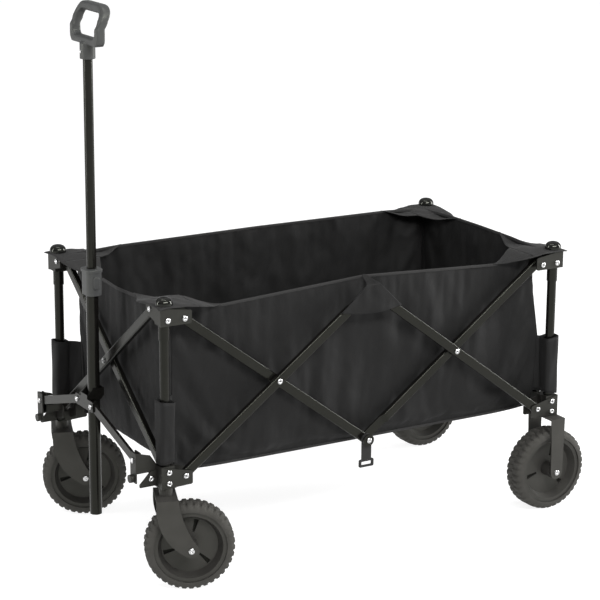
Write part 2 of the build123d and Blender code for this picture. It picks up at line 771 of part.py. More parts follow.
def castor_fork():
    """Swivelling fork about the post's axis: neck, top plate and two curved side plates."""
    half = castor_top_half
    body = upright_along_x(castor_side(), fork_half_inside, fork_outside)
    body += upright_along_x(castor_side(), -fork_outside, -fork_half_inside)
    body += block(-half, half, -fork_outside, fork_outside, castor_top - fork_plate, castor_top)
    body += rod(castor_neck_r, castor_top, socket_base - castor_neck_gap)
    return Rot(0, 0, -castor_swivel) * (body + axle(-castor_trail))


# ---- Fabric tub ----


def tub_outline(half_length, inset, z0, z1):
    """Trapezoid of a wall: full length at the rim, shorter by the taper at the floor."""
    low = half_length - inset
    return polygon((-half_length, z1), (half_length, z1), (low, z0), (-low, z0))


def side_wall():
    """Left wall of the tub with its corner flaps, post sleeves and middle pocket."""
    z0, z1 = tub_floor_z, rim_z
    slab = polygon((tub_y, z1), (tub_y - cloth, z1), (tub_y - cloth - tub_taper, z0), (tub_y - tub_taper, z0))
    wall = upright_along_y(slab, -tub_x, tub_x)
    wall &= upright_along_x(tub_outline(tub_x, tub_taper, z0, z1), 0, tub_y)
    pocket = polygon((0, z1), (pocket_half, z1 - pocket_height), (-pocket_half, z1 - pocket_height))
    pocket_y = post_y + ear_outside + seat_gap + rivet_head_h
    wall += upright_along_x(pocket, pocket_y, pocket_y + cloth)
    neck = pocket_neck / 2
    wall += block(-neck, neck, tub_y - cloth, pocket_y + cloth, flap_base, rim_z)
    for front in (True, False):
        wall += mirror(corner_cloth(), about=Plane.YZ) if not front else corner_cloth()
    return wall


def corner_cloth():
    """Flap over the front left bracket, and the sleeve that holds the tub to its post."""
    tip = ear_outside
    flap = Plane.XY * polygon(
        (post_x - flap_reach, tub_y - cloth), (post_x - flap_reach, tub_y), (post_x - tip, post_y + tip),
        (post_x + tip - flap_corner, post_y + tip), (post_x + tip, post_y + tip - flap_corner),
        (post_x + tip, post_y - tip),
        (tub_x, post_y - flap_reach), (tub_x - cloth, post_y - flap_reach), (tub_x - cloth, tub_y - cloth),
    )
    flap = extrude(Pos(0, 0, flap_base) * flap, amount=plate)
    flap -= Pos(post_x, post_y, 0) * rod(knob_stem_r + seat_gap, flap_base, rim_z)
    width = sleeve_width
    inner = width - 2 * cloth
    sleeve = RectangleRounded(width, width, sleeve_corner)
    sleeve -= RectangleRounded(inner, inner, sleeve_corner - cloth)
    near = width / 2 - sleeve_corner / 2
    far = tub_gap + tub_taper
    sleeve += polygon((-near - cloth, -near), (-near, -near - cloth), (-far + cloth, -far), (-far, -far + cloth))
    sleeve = extrude(Pos(0, 0, sleeve_z) * sleeve, amount=sleeve_length)
    return flap + Pos(post_x, post_y, 0) * sleeve


def end_wall():
    """Front wall of the tub, between the side walls."""
    z0, z1 = tub_floor_z, flap_base - seat_gap
    slab = polygon((tub_x, z1), (tub_x - cloth, z1), (tub_x - cloth - tub_taper, z0), (tub_x - tub_taper, z0))
    half = tub_y - cloth - seat_gap - tub_side_gap
    return upright_along_x(slab, -tub_y, tub_y) & upright_along_y(tub_outline(half, tub_taper, z0, z1), 0, tub_x)


def floor_panel():
    """Front half of the tub's floor, from its hinge line to the middle."""
    half = tub_y - tub_taper - cloth - seat_gap - floor_side_gap
    return block(seat_gap, floor_hinge_x, -half, half, tub_floor_z, tub_floor_z + cloth)


# ---- Assembly ----


def corner_pieces(name, front, left):
    """Every piece that stands at one corner."""
    lower = lower_bracket(end_bar_outer=not left)
    if front:
        lower += link_arm()
    pieces = {
        f"lower_post_{name}": lower_post(),
        f"lower_bracket_{name}": lower,
        f"upper_post_{name}": upper_post(),
        f"upper_bracket_{name}": upper_bracket(end_bar_outer=left),
        f"knob_{name}": knob(),
    }
    if not front:
        pieces[f"rear_fork_{name}"] = rear_fork()
    return {node: at_corner(shape, front, left) for node, shape in pieces.items()}


def wheel_pieces(name, front, left):
    """The tyre and the rim of one wheel, and a castor's fork."""
    x = -castor_trail if front else 0
    turn = Rot(0, 0, -castor_swivel if front else 0)
    place = Pos(post_x if front else -post_x, post_y if left else -post_y, 0) * turn
    pieces = {
        f"tyre_{name}": place * Pos(x, 0, wheel_r) * tyre(),
        f"rim_{name}": place * Pos(x, 0, wheel_r) * rim(),
    }
    if front:
        pieces[f"castor_fork_{name}"] = Pos(post_x, post_y if left else -post_y, 0) * castor_fork()
    return pieces


corners = {
    "front_left": (True, True),
    "front_right": (True, False),
    "rear_left": (False, True),
    "rear_right": (False, False),
}

nodes = {}
for corner, (front, left) in corners.items():
    nodes.update(corner_pieces(corner, front, left))
    nodes.update(wheel_pieces(corner, front, left))

for kind, shape in side_bars().items():
    nodes[f"side_bar_left_{kind}"] = shape
    nodes[f"side_bar_right_{kind}"] = mirror(shape, about=Plane.XZ)
for kind, shape in end_bars().items():
    nodes[f"end_bar_front_{kind}"] = shape
    nodes[f"end_bar_rear_{kind}"] = mirror(shape, about=Plane.YZ)

nodes["handle_link_left"] = placed_link(left=True)
nodes["handle_link_right"] = placed_link(left=False)
nodes["handle_yoke"] = yoke()
nodes["handle_outer_tube"] = handle_outer()
nodes["handle_collar"] = handle_collar()
nodes["handle_inner_tube"] = handle_inner()
nodes["handle_grip"] = grip()

nodes["strap_tab_left"] = strap_tab()
nodes["strap_tab_right"] = mirror(strap_tab(), about=Plane.XZ)
nodes["tub_wall_left"] = side_wall()
nodes["tub_wall_right"] = mirror(side_wall(), about=Plane.XZ)
nodes["tub_wall_front"] = end_wall()
nodes["tub_wall_rear"] = mirror(end_wall(), about=Plane.YZ)
nodes["tub_floor_front"] = floor_panel()
nodes["tub_floor_rear"] = mirror(floor_panel(), about=Plane.YZ)

# The origin lies on the ground below the middle of the whole wagon's box.
middle = Compound(children=[solid_of(shape) for shape in nodes.values()]).bounding_box().center()
shift = Pos(-middle.X, -middle.Y, 0)

if __name__ == "__main__":
    os.makedirs("parts", exist_ok=True)
    for node, shape in nodes.items():
        export_step(shift * shape, f"parts/{node}.step")
    print(f"{len(nodes)} nodes, middle of the box at {middle.X:.2f}, {middle.Y:.2f}")
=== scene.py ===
# %% [markdown]
# A folding wagon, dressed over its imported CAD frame.
# The frame already holds every tube, bracket, bar and wheel at its real size, so this lesson adds what CAD
# leaves plain: the sewn tub, the knobbly tyres, the bright rivets and the finish of each surface.
# Everything is in metres, with X forward to the pull handle, Y to the left and Z up.

# %% Load the frame
import json
import math

import bpy
import numpy as np
from mathutils import Matrix, Vector

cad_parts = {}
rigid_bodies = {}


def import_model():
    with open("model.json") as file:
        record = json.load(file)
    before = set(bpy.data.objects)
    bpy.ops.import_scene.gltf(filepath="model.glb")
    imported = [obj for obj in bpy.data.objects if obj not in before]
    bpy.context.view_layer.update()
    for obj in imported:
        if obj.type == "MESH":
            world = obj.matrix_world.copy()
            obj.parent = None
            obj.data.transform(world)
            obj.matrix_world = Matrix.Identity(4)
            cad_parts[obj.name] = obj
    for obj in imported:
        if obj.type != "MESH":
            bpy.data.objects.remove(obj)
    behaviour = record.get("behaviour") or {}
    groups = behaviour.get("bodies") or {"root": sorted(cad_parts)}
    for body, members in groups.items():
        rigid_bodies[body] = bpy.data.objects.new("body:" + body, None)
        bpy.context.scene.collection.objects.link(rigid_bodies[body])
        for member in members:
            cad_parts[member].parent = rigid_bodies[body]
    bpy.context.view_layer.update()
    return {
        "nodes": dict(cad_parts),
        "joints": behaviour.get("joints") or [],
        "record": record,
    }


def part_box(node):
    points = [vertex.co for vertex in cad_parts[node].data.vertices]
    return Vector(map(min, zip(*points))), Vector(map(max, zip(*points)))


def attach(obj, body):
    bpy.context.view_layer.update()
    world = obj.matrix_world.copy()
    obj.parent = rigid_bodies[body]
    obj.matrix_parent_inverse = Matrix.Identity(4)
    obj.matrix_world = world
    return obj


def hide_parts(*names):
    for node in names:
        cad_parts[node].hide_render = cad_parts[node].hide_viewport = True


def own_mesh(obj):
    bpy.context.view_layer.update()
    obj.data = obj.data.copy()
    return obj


for leftover in list(bpy.data.objects):
    bpy.data.objects.remove(leftover)
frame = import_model()
joints = {joint["name"]: joint for joint in frame["joints"]}
nodes = frame["nodes"]
bpy.ops.object.select_all(action="DESELECT")

# %% [markdown]
# The wagon is symmetric about the middle of its four posts, so a few distances describe where everything
# sits. They are measured on the frame here, once, and every later piece is placed from them.

# %% Measure the posts
mm = 0.001
corners = {
    "front_left": (1, 1),
    "front_right": (1, -1),
    "rear_left": (-1, 1),
    "rear_right": (-1, -1),
}
long_sides = ("left", "right")
outward = {"left": 1, "right": -1, "front": 1, "rear": -1}
cad_rivet_head = 2.2 * mm


def middle_of(node):
    """The middle of a frame node's box."""
    low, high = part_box(node)
    return (low + high) / 2


post = {name: middle_of(f"upper_post_{name}") for name in corners}
centre = (post["front_left"] + post["rear_right"]) / 2
half_length = post["front_left"].x - centre.x
half_width = post["front_left"].y - centre.y
bracket_low, bracket_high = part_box("upper_bracket_rear_left")
cap_base, cap_top = bracket_low.z, bracket_high.z
bracket_face = bracket_high.y - post["rear_left"].y - cad_rivet_head
print("posts", round(2 * half_length, 3), "by", round(2 * half_width, 3), "m")

# %% Measure the crossing bars and how far they fold
low_pivot = Vector(joints["fold"]["pos_m"])
side_cross = Vector(joints["left_front_cross"]["pos_m"])
end_cross = Vector(joints["front_cross"]["pos_m"])
side_arm = post["front_left"].x - low_pivot.x
pivot_rise = 2 * (side_cross.z - low_pivot.z)
low_z = low_pivot.z
high_z = low_z + pivot_rise
end_low_z = end_cross.z - pivot_rise / 2
end_high_z = end_cross.z + pivot_rise / 2
half_span = half_length - side_arm
end_arm = half_width - half_span / 2
bar_length = math.hypot(half_span, pivot_rise)
open_angle = math.atan2(pivot_rise, half_span)
folded_angle = open_angle + math.radians(joints["fold"]["range_deg"][1])
fold_shift = half_span - bar_length * math.cos(folded_angle)
print("one pair of crossed bars closes by", round(fold_shift, 3), "m")

# %% [markdown]
# The stage is a plain pale floor under a soft white studio. A black object shows mostly what it reflects,
# so the white world is bright overhead and dim below that: upright faces stay dark, and edges and round tops
# catch the light. A bright band at the horizon joins the floor to the world without a line. Two tall lamps
# stand far out to the sides, where they draw a thin bright line down each round tube.


# %% Two node helpers
def map_range(tree, amount, source, result, shape="LINEAR"):
    """Maps an amount from one range to another."""
    node = tree.nodes.new("ShaderNodeMapRange")
    node.inputs["From Min"].default_value, node.inputs["From Max"].default_value = source
    node.inputs["To Min"].default_value, node.inputs["To Max"].default_value = result
    node.interpolation_type = shape
    tree.links.new(amount, node.inputs["Value"])
    return node.outputs["Result"]


def larger(tree, first, second):
    """The larger of two amounts."""
    node = tree.nodes.new("ShaderNodeMath")
    node.operation = "MAXIMUM"
    tree.links.new(first, node.inputs[0])
    tree.links.new(second, node.inputs[1])
    return node.outputs["Value"]


print("node helpers: map_range, larger")

# %% Stage
scene = bpy.context.scene
scene.view_settings.view_transform = "Standard"
scene.view_settings.look = "None"
white = (1, 1, 1, 1)

bpy.ops.mesh.primitive_plane_add(size=40, location=(0, 0, 0))
floor = bpy.context.object
floor.name = "studio_floor"

world = bpy.data.worlds.new("studio_white")
scene.world = world
world.use_nodes = True
sky = world.node_tree
direction = sky.nodes.new("ShaderNodeTexCoord").outputs["Generated"]
split = sky.nodes.new("ShaderNodeSeparateXYZ")
sky.links.new(direction, split.inputs["Vector"])
upward = split.outputs["Z"]
dim, overhead, horizon = 0.08, 0.6, 1
dome_span = (0.25, 0.7)  # how far up a direction points, from 0 level to 1 straight up
band_span = (0.14, 0.2)
dome = map_range(sky, upward, dome_span, (dim, overhead), "SMOOTHSTEP")
band = map_range(sky, upward, band_span, (horizon, 0))
background = sky.nodes["Background"]
sky.links.new(larger(sky, dome, band), background.inputs["Strength"])
background.inputs["Color"].default_value = white
print("world from", dim, "to", overhead, "overhead")

# %% Lamps
tub_middle = Vector((centre.x, centre.y, 0.4))


def soft_lamp(name, place, width, height, power):
    """A rectangular lamp that faces the middle of the wagon."""
    data = bpy.data.lights.new(name, "AREA")
    data.shape = "RECTANGLE"
    data.size = width
    data.size_y = height
    data.energy = power
    lamp = bpy.data.objects.new(name, data)
    scene.collection.objects.link(lamp)
    lamp.location = place
    aim = tub_middle - Vector(place)
    lamp.rotation_euler = aim.to_track_quat("-Z", "Y").to_euler()


soft_lamp("front_strip", (3.3, -1.0, 1.3), width=0.3, height=2.6, power=60)
soft_lamp("rear_strip", (-3.4, 1.0, 1.4), width=0.5, height=2.4, power=120)
soft_lamp("side_strip", (0.3, 2.9, 2.7), width=3.2, height=0.6, power=170)
soft_lamp("top_lamp", (0.3, 0.2, 3.4), width=2.4, height=0.5, power=30)

# %% [markdown]
# The wagon is seen from its left front and a little from above. A long lens far away keeps its far side
# almost as large as its near side, and a roll of less than half a degree sets the posts upright.

# %% Camera
camera_place = Vector((2.2704, 3.7539, 1.6518))
aim_point = Vector((0.0969, 0.1062, 0.4983))
camera_data = bpy.data.cameras.new("camera")
camera_data.lens = 132.0
camera_data.sensor_width = 36.0
camera = bpy.data.objects.new("camera", camera_data)
scene.collection.objects.link(camera)
camera.location = camera_place
gaze = (aim_point - camera.location).to_track_quat("-Z", "Y").to_matrix()
roll = Matrix.Rotation(math.radians(0.4), 3, "Z")
camera.rotation_euler = (gaze @ roll).to_euler()
scene.camera = camera
print("camera at", [round(v, 3) for v in camera.location])

# %% [markdown]
# Each finish is a node material built from a few shared steps: a noise or a wave, a ramp that turns it into
# colour, and a bump. Patterns read the object's own coordinates in metres, so a grain of half a millimetre is
# asked for as half a millimetre and stays the same on every piece.

# %% Material helpers
noise_span = (0.3, 0.7)


def start_material(name, roughness, metallic=0.0):
    """A new material with its shader and the object coordinates that its patterns read."""
    material = bpy.data.materials.new(name)
    material.use_nodes = True
    tree = material.node_tree
    shader = tree.nodes["Principled BSDF"]
    shader.inputs["Roughness"].default_value = roughness
    shader.inputs["Metallic"].default_value = metallic
    place = tree.nodes.new("ShaderNodeTexCoord").outputs["Object"]
    return material, tree, shader, place


def noise(tree, place, grain, detail=3.0):
    """Noise whose patches are about as wide as the grain, in metres."""
    node = tree.nodes.new("ShaderNodeTexNoise")
    node.inputs["Scale"].default_value = 1 / grain
    node.inputs["Detail"].default_value = detail
    tree.links.new(place, node.inputs["Vector"])
    return node.outputs["Fac"]


def vary_colour(tree, shader, amount, dark, light):
    """Lets an amount choose the surface's colour between a dark and a light one."""
    node = tree.nodes.new("ShaderNodeValToRGB")
    dark_stop, light_stop = node.color_ramp.elements
    dark_stop.position, light_stop.position = 0.35, 0.65
    dark_stop.color, light_stop.color = (*dark, 1), (*light, 1)
    tree.links.new(amount, node.inputs["Fac"])
    tree.links.new(node.outputs["Color"], shader.inputs["Base Color"])


def vary_roughness(tree, shader, amount, low, high):
    """Lets a noise choose the surface's roughness between two values."""
    tree.links.new(map_range(tree, amount, noise_span, (low, high)), shader.inputs["Roughness"])


def bump(tree, shader, height, depth):
    """Raises the surface by a height pattern, on top of the bumps it has."""
    node = tree.nodes.new("ShaderNodeBump")
    node.inputs["Distance"].default_value = depth
    socket = shader.inputs["Normal"]
    if socket.is_linked:
        tree.links.new(socket.links[0].from_socket, node.inputs["Normal"])
    tree.links.new(height, node.inputs["Height"])
    tree.links.new(node.outputs["Normal"], socket)


def grey(value, warm=0.0):
    """A grey with a little warmth: more red and less blue."""
    return (value * (1 + warm), value, value * (1 - warm))


print("helpers: noise, vary_colour, vary_roughness, bump, grey")

# %% [markdown]
# The frame is steel tube with a satin black powder coat. Powder melts into a smooth skin with a faint orange
# peel, so it gets a low bump of a few millimetres' grain, and its gloss varies a little from place to place.
# The brackets, knobs, grip and rims are moulded plastic with a finer grain, and the rivets are bright steel.

# %% Metal and plastic finishes
coat_level, coat_tint = 0.2, (0.97, 1.0, 0.84, 1)
plastic_level, plastic_tint = 0.28, (0.97, 1.0, 0.86, 1)


def coated_steel(name, shade, roughness):
    """Powder coat: wide patches of shade and a fine orange peel."""
    material, tree, shader, place = start_material(name, roughness)
    patches = noise(tree, place, 60 * mm)
    vary_colour(tree, shader, patches, grey(shade * 0.85, 0.08), grey(shade * 1.15, 0.08))
    shader.inputs["Specular IOR Level"].default_value = coat_level
    shader.inputs["Specular Tint"].default_value = coat_tint
    orange_peel = noise(tree, place, 1.6 * mm, 2)
    vary_roughness(tree, shader, orange_peel, roughness - 0.05, roughness + 0.06)
    bump(tree, shader, orange_peel, 0.05 * mm)
    return material


def moulded_plastic(name, shade, roughness, grain=0.7 * mm, depth=0.06 * mm, warm=0.06):
    """Plastic from a mould: wide patches of shade and pits as fine as the grain."""
    material, tree, shader, place = start_material(name, roughness)
    patches = noise(tree, place, 30 * mm)
    vary_colour(tree, shader, patches, grey(shade * 0.9, warm), grey(shade * 1.1, warm))
    shader.inputs["Specular IOR Level"].default_value = plastic_level
    shader.inputs["Specular Tint"].default_value = plastic_tint
    pits = noise(tree, place, grain, 2)
    vary_roughness(tree, shader, pits, roughness - 0.06, roughness + 0.06)
    bump(tree, shader, pits, depth)
    return material


def bright_steel(name):
    """Bare metal with small marks."""
    material, tree, shader, place = start_material(name, 0.28, 1.0)
    marks = noise(tree, place, 2 * mm)
    vary_colour(tree, shader, marks, grey(0.4), grey(0.58))
    vary_roughness(tree, shader, marks, 0.18, 0.36)
    return material


finish = {
    "frame_steel": coated_steel("black_powder_coat", 0.004, 0.2),
    "bracket_plastic": moulded_plastic("bracket_nylon", 0.010, 0.5),
    "knob_plastic": moulded_plastic("gloss_black_knob", 0.004, 0.08, grain=4 * mm, depth=0.01 * mm, warm=0),
    "grip_plastic": moulded_plastic("grip_plastic", 0.037, 0.42, grain=0.9 * mm, depth=0.08 * mm, warm=-0.02),
    "rim_plastic": moulded_plastic("rim_nylon", 0.022, 0.5),
    "fork_coat": moulded_plastic("matt_fork_coat", 0.024, 0.5),
    "tyre_rubber": moulded_plastic("foam_rubber", 0.03, 0.75, grain=1.2 * mm, depth=0.15 * mm),
    "rivet_steel": bright_steel("bright_rivet_steel"),
    # Near-black painted shade for the floors of the rim's slots.
    "deep_shade": moulded_plastic("painted_slot_shade", 0.0015, 0.8),
}
print("finishes:", sorted(finish))

# %% [markdown]
# The tub is a plain woven polyester with a coated inside. The weave is two crossed waves on the cloth's own
# UV map, which is laid out in metres, so each thread is about a third of a millimetre wide wherever the sheet
# bends. Soft creases come from a wide noise, stretched upwards as hanging cloth creases.

# %% Cloth finishes
wave_turn = 20  # radians that a wave texture of scale 1 turns in a metre
crease_stretch = (1, 1, 0.5)
crease_tilt = (0.4, 0.3, 0)


def threads(tree, coordinates, direction, pitch):
    """Parallel threads across one direction of a UV map in metres."""
    wave = tree.nodes.new("ShaderNodeTexWave")
    wave.bands_direction = direction
    wave.inputs["Scale"].default_value = 1 / pitch / wave_turn * 2 * math.pi
    wave.inputs["Distortion"].default_value = 0.6
    tree.links.new(coordinates, wave.inputs["Vector"])
    return wave.outputs["Fac"]


def woven(name, shade, pitch, sheen, creases=1 * mm, warm=0.02):
    """Woven cloth: crossed threads, small puckers and wide soft creases."""
    material, tree, shader, place = start_material(name, 0.7)
    sheet_uv = tree.nodes.new("ShaderNodeUVMap").outputs["UV"]
    cloudy = noise(tree, place, 90 * mm, 4)
    vary_colour(tree, shader, cloudy, grey(shade * 0.8, warm), grey(shade * 1.25, warm))
    vary_roughness(tree, shader, cloudy, 0.62, 0.8)
    shader.inputs["Sheen Weight"].default_value = sheen
    shader.inputs["Sheen Roughness"].default_value = 0.45
    shader.inputs["Specular IOR Level"].default_value = 0.2
    weft = threads(tree, sheet_uv, "X", pitch)
    warp = threads(tree, sheet_uv, "Y", pitch)
    bump(tree, shader, larger(tree, weft, warp), 0.05 * mm)
    puckers = noise(tree, place, 14 * mm, 4)
    bump(tree, shader, puckers, 0.6 * mm)
    hanging = tree.nodes.new("ShaderNodeMapping")
    hanging.inputs["Scale"].default_value = crease_stretch
    hanging.inputs["Rotation"].default_value = crease_tilt
    tree.links.new(place, hanging.inputs["Vector"])
    soft_creases = noise(tree, hanging.outputs["Vector"], 80 * mm, 2)
    bump(tree, shader, soft_creases, creases)
    return material


finish["tub_fabric"] = woven("tub_polyester", 0.0046, 0.7 * mm, sheen=0.012, creases=26 * mm)
# The flaps are the tub's cloth painted three times lighter: a painted highlight on their upward faces.
finish["flap_fabric"] = woven("flap_polyester_painted_highlight", 0.014, 0.7 * mm, sheen=0.03)
finish["strap_webbing"] = woven("tab_webbing", 0.014, 1.8 * mm, sheen=0.05)
# The binding tape is painted three times lighter than the tub's cloth: a painted highlight along the rims,
# and on the hems that reuse it.
finish["binding"] = woven("binding_tape_painted_highlight", 0.014, 1.0 * mm, sheen=0.04)
print("cloth finishes: tub_fabric, flap_fabric, strap_webbing, binding")

# %% [markdown]
# Every solid of the frame keeps its shape and gets the finish that its record asks for. Only the wheel forks
# differ: they are pressed steel with a duller coat than the tubes, so they have a finish of their own. The
# floor glows a little, because a white studio floor is lit from all round.

# %% Finish of the stage and of every frame node
pale_floor, tree, shader, place = start_material("pale_floor", 0.9)
vary_colour(tree, shader, noise(tree, place, 0.8), grey(0.26), grey(0.28))
shader.inputs["Emission Color"].default_value = white
shader.inputs["Emission Strength"].default_value = 0.86
floor.data.materials.append(pale_floor)

slot_of = {entry["node"]: entry["material_slot"] for entry in frame["record"]["subparts"]}


def dress(piece, material):
    """Gives a whole piece one finish."""
    piece.data.materials.clear()
    piece.data.materials.append(material)


for name, node in nodes.items():
    dress(node, finish["fork_coat" if "_fork_" in name else slot_of[name]])
print("dressed", len(nodes), "frame nodes")

# %% [markdown]
# The tub is a bag sewn from four walls and a floor, hung from the four top brackets. Each wall starts as a
# grid whose points are laid by a rule: the rim sags between what holds it, and the corners run down towards
# the sleeves that tie the bag to its posts. A rule is exact and quick, but real cloth also buckles, so the
# four walls are welded into one ring and a short cloth simulation lets them slump with a little spare cloth.
# The points that are sewn to something stay pinned. Afterwards the ring is cut at its seams again, because
# each wall folds its own way.

# %% Where the tub's cloth lies
tub_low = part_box("tub_wall_left")[0].z
rim_inset = post["front_left"].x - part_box("tub_wall_front")[1].x
floor_inset = post["front_left"].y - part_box("tub_floor_front")[1].y
sleeve_height = 121 * mm
sleeve_low = low_z + 30 * mm
sleeve_high = sleeve_low + sleeve_height
wall_height = cap_top - 1 * mm - tub_low
# A rim's drop below the bracket tops, negative where it stands above them: in its middle, beside the end of
# a flap's tail, and how far from the post that second place is.
rim_drops = {
    "left": (3 * mm, 20 * mm, 110 * mm),
    "right": (-7 * mm, -5 * mm, 110 * mm),
    "front": (23 * mm, 17 * mm, 110 * mm),
    "rear": (-5 * mm, -4 * mm, 110 * mm),
}
hem_sags = {"left": 9 * mm, "right": 9 * mm, "front": 0, "rear": 9 * mm}
hem_bulges = {"left": 7 * mm, "right": 7 * mm, "front": 0, "rear": 7 * mm}
# How far inside its post each corner of the bag runs, at six heights.
corner_heights = [tub_low, sleeve_low, sleeve_high, sleeve_high + 75 * mm, cap_base, cap_top]
corner_insets = {
    "front_left": [36 * mm, 32 * mm, 28 * mm, 31 * mm, 30 * mm, 20 * mm],
    "front_right": [36 * mm, 33 * mm, 31 * mm, 31 * mm, 30 * mm, 20 * mm],
    "rear_left": [30 * mm, 22 * mm, 19 * mm, 26 * mm, 30 * mm, 20 * mm],
    "rear_right": [34 * mm, 30 * mm, 28 * mm, 30 * mm, 30 * mm, 20 * mm],
}
print("tub from", round(tub_low, 3), "m, its walls", round(rim_inset / mm), "mm inside the posts")

# %% A point of a wall
hem_power = 10  # a hem sags along its whole run and turns up only near the corners
corner_power = 6  # a wall keeps its own plane and swings to its corners near them
wall_margin = 3 * mm
bulge_top, bulge_power = 0.6, 0.7  # a hem's bulge dies away over this share of the height


def rim_height(side, along):
    """Height of the rim, from the middle of a wall at 0 to its corners at 1 and -1."""
    half_run = half_length if side in long_sides else half_width
    from_post = (1 - abs(along)) * half_run
    middle_drop, low_drop, low_place = rim_drops[side]
    places = [0, 12 * mm, low_place, half_run]
    return cap_top - float(np.interp(from_post, places, [0, 0, low_drop, middle_drop]))


def corner_inset(corner, z):
    """How far inside its post a corner of the bag runs at a height."""
    return float(np.interp(z, corner_heights, corner_insets[corner]))


def wall_ends(side):
    """The corners at a wall's low and high end, along X or Y."""
    if side in long_sides:
        return f"rear_{side}", f"front_{side}"
    return f"{side}_right", f"{side}_left"


def wall_point(side, along, up):
    """A point of a wall, from its share along the wall, -1 to 1, and its share of the height."""
    hem = tub_low - hem_sags[side] * (1 - abs(along) ** hem_power)
    z = hem + up * (rim_height(side, along) - hem)
    low_end, high_end = [corner_inset(corner, z) for corner in wall_ends(side)]
    between_ends = low_end + (high_end - low_end) * ((along + 1) / 2)
    lean = floor_inset - rim_inset - 2 * wall_margin
    flat = rim_inset + wall_margin + lean * (1 - up)
    flat -= hem_bulges[side] * (1 - min(1, up / bulge_top)) ** bulge_power
    inset = flat + (between_ends - flat) * abs(along) ** corner_power
    end_inset = high_end if along > 0 else low_end
    sign = outward[side]
    if side in long_sides:
        x = centre.x + along * (half_length - end_inset)
        return Vector((x, centre.y + sign * (half_width - inset), z))
    y = centre.y + along * (half_width - end_inset)
    return Vector((centre.x + sign * (half_length - inset), y, z))


print("left wall's middle is at", [round(v, 3) for v in wall_point("left", 0, 0.5)])

# %% [markdown]
# A sheet of cloth starts as Blender's flat grid, whose UV map is already neat. Each of its points is then
# moved to where a rule puts it, and the UV map is stretched to the sheet's real size in metres, so that the
# weave keeps its scale. The same helper makes every soft piece of the wagon.


# %% A sheet from a grid
def keep_only_selected(piece):
    """Selects one piece and makes it active, because an operator acts on all that is selected."""
    bpy.ops.object.select_all(action="DESELECT")
    piece.select_set(True)
    bpy.context.view_layer.objects.active = piece


def grid_sheet(name, across, up, place, size):
    """A grid whose points are laid by place(share across, share up), with its UV map in metres."""
    bpy.ops.mesh.primitive_grid_add(x_subdivisions=across, y_subdivisions=up, size=2)
    sheet = bpy.context.object
    sheet.name = name
    for vertex in sheet.data.vertices:
        vertex.co = place((vertex.co.x + 1) / 2, (vertex.co.y + 1) / 2)
    for loop in sheet.data.uv_layers.active.data:
        loop.uv = (loop.uv[0] * size[0], loop.uv[1] * size[1])
    return sheet


def wall_rule(side):
    """The rule that lays a grid as one wall of the tub."""

    def rule(across, up):
        return wall_point(side, 2 * across - 1, up)

    return rule


print("helpers: keep_only_selected, grid_sheet, wall_rule")

# %% The four walls as grids
cell = 8 * mm
wall_rows = round(wall_height / cell)
wall_run = {
    "left": 2 * (half_length - rim_inset),
    "right": 2 * (half_length - rim_inset),
    "front": 2 * (half_width - rim_inset),
    "rear": 2 * (half_width - rim_inset),
}
walls = {}
for side, run in wall_run.items():
    columns = round(run / cell)
    walls[side] = grid_sheet(f"tub_{side}", columns, wall_rows, wall_rule(side), (run, wall_height))
    print(walls[side].name, columns, "by", wall_rows, "cells")

# %% [markdown]
# The four walls get a soft uneven ripple first, so that the spare cloth has somewhere to go. Each face is
# marked with the number of its wall. Then the walls are joined and their touching corner edges are merged,
# which makes one ring of cloth.

# %% Ripples
# Three waves across a wall: radians a metre, radians over the height, start and strength.
waves = ((19, 2.5, 1.3, 0.5), (37, -4.1, 0, 0.3), (71, 3, 0, 0.12))
ripple_depth = 4 * mm


def ripple(point, side):
    """A gentle uneven wave across a wall, a few millimetres deep."""
    run = point.x if side in long_sides else point.y
    height = (point.z - tub_low) / wall_height
    wave = sum(math.sin(run * rate + height * tilt + start) * part for rate, tilt, start, part in waves)
    return wave * ripple_depth * math.sin(math.pi * min(1, max(0, height))) ** 0.7


for side, wall in walls.items():
    for vertex in wall.data.vertices:
        depth = ripple(vertex.co, side)
        if side in long_sides:
            vertex.co.y += depth
        else:
            vertex.co.x += depth
print("rippled", len(walls), "walls")


# %% One ring of cloth
def joined(pieces, name):
    """One piece from several."""
    bpy.ops.object.select_all(action="DESELECT")
    for piece in pieces:
        piece.select_set(True)
    bpy.context.view_layer.objects.active = pieces[0]
    if len(pieces) > 1:
        bpy.ops.object.join()
    pieces[0].name = name
    return pieces[0]


def weld(piece, reach, face_outward=True):
    """Merges the points of a piece that lie within reach of each other."""
    keep_only_selected(piece)
    bpy.ops.object.mode_set(mode="EDIT")
    bpy.ops.mesh.select_all(action="SELECT")
    bpy.ops.mesh.remove_doubles(threshold=reach)
    if face_outward:
        bpy.ops.mesh.normals_make_consistent(inside=False)
    bpy.ops.object.mode_set(mode="OBJECT")


for number, wall in enumerate(walls.values()):
    mark = wall.data.attributes.new("panel", "INT", "FACE")
    mark.data.foreach_set("value", [number] * len(wall.data.polygons))
ring = joined(list(walls.values()), "tub_left")
weld(ring, 2 * mm)
print("ring of cloth:", len(ring.data.vertices), "points")

# %% [markdown]
# The bag is sewn along its rim, its hem and its corner seams, and to the sleeves and flaps beside them. These
# points are pinned in a vertex group. An edge that only one face uses is an open edge, so the rim and the hem
# are found by counting faces, and the rest by where it lies.

# %% What the ring is sewn to
corner_reach = 42 * mm
seam_reach = 38 * mm


def held(point):
    """True where the bag is sewn to a flap, a sleeve or its neighbour, or lies on its stiff base."""
    from_x = half_length - abs(point.x - centre.x)
    from_y = half_width - abs(point.y - centre.y)
    from_post = max(from_x, from_y)
    in_sleeve = sleeve_low < point.z < sleeve_high
    under_flap = point.z > cap_base + 8 * mm
    at_corner = from_post < corner_reach and (in_sleeve or under_flap)
    return point.z < tub_low + 1 * mm or from_post < seam_reach or at_corner


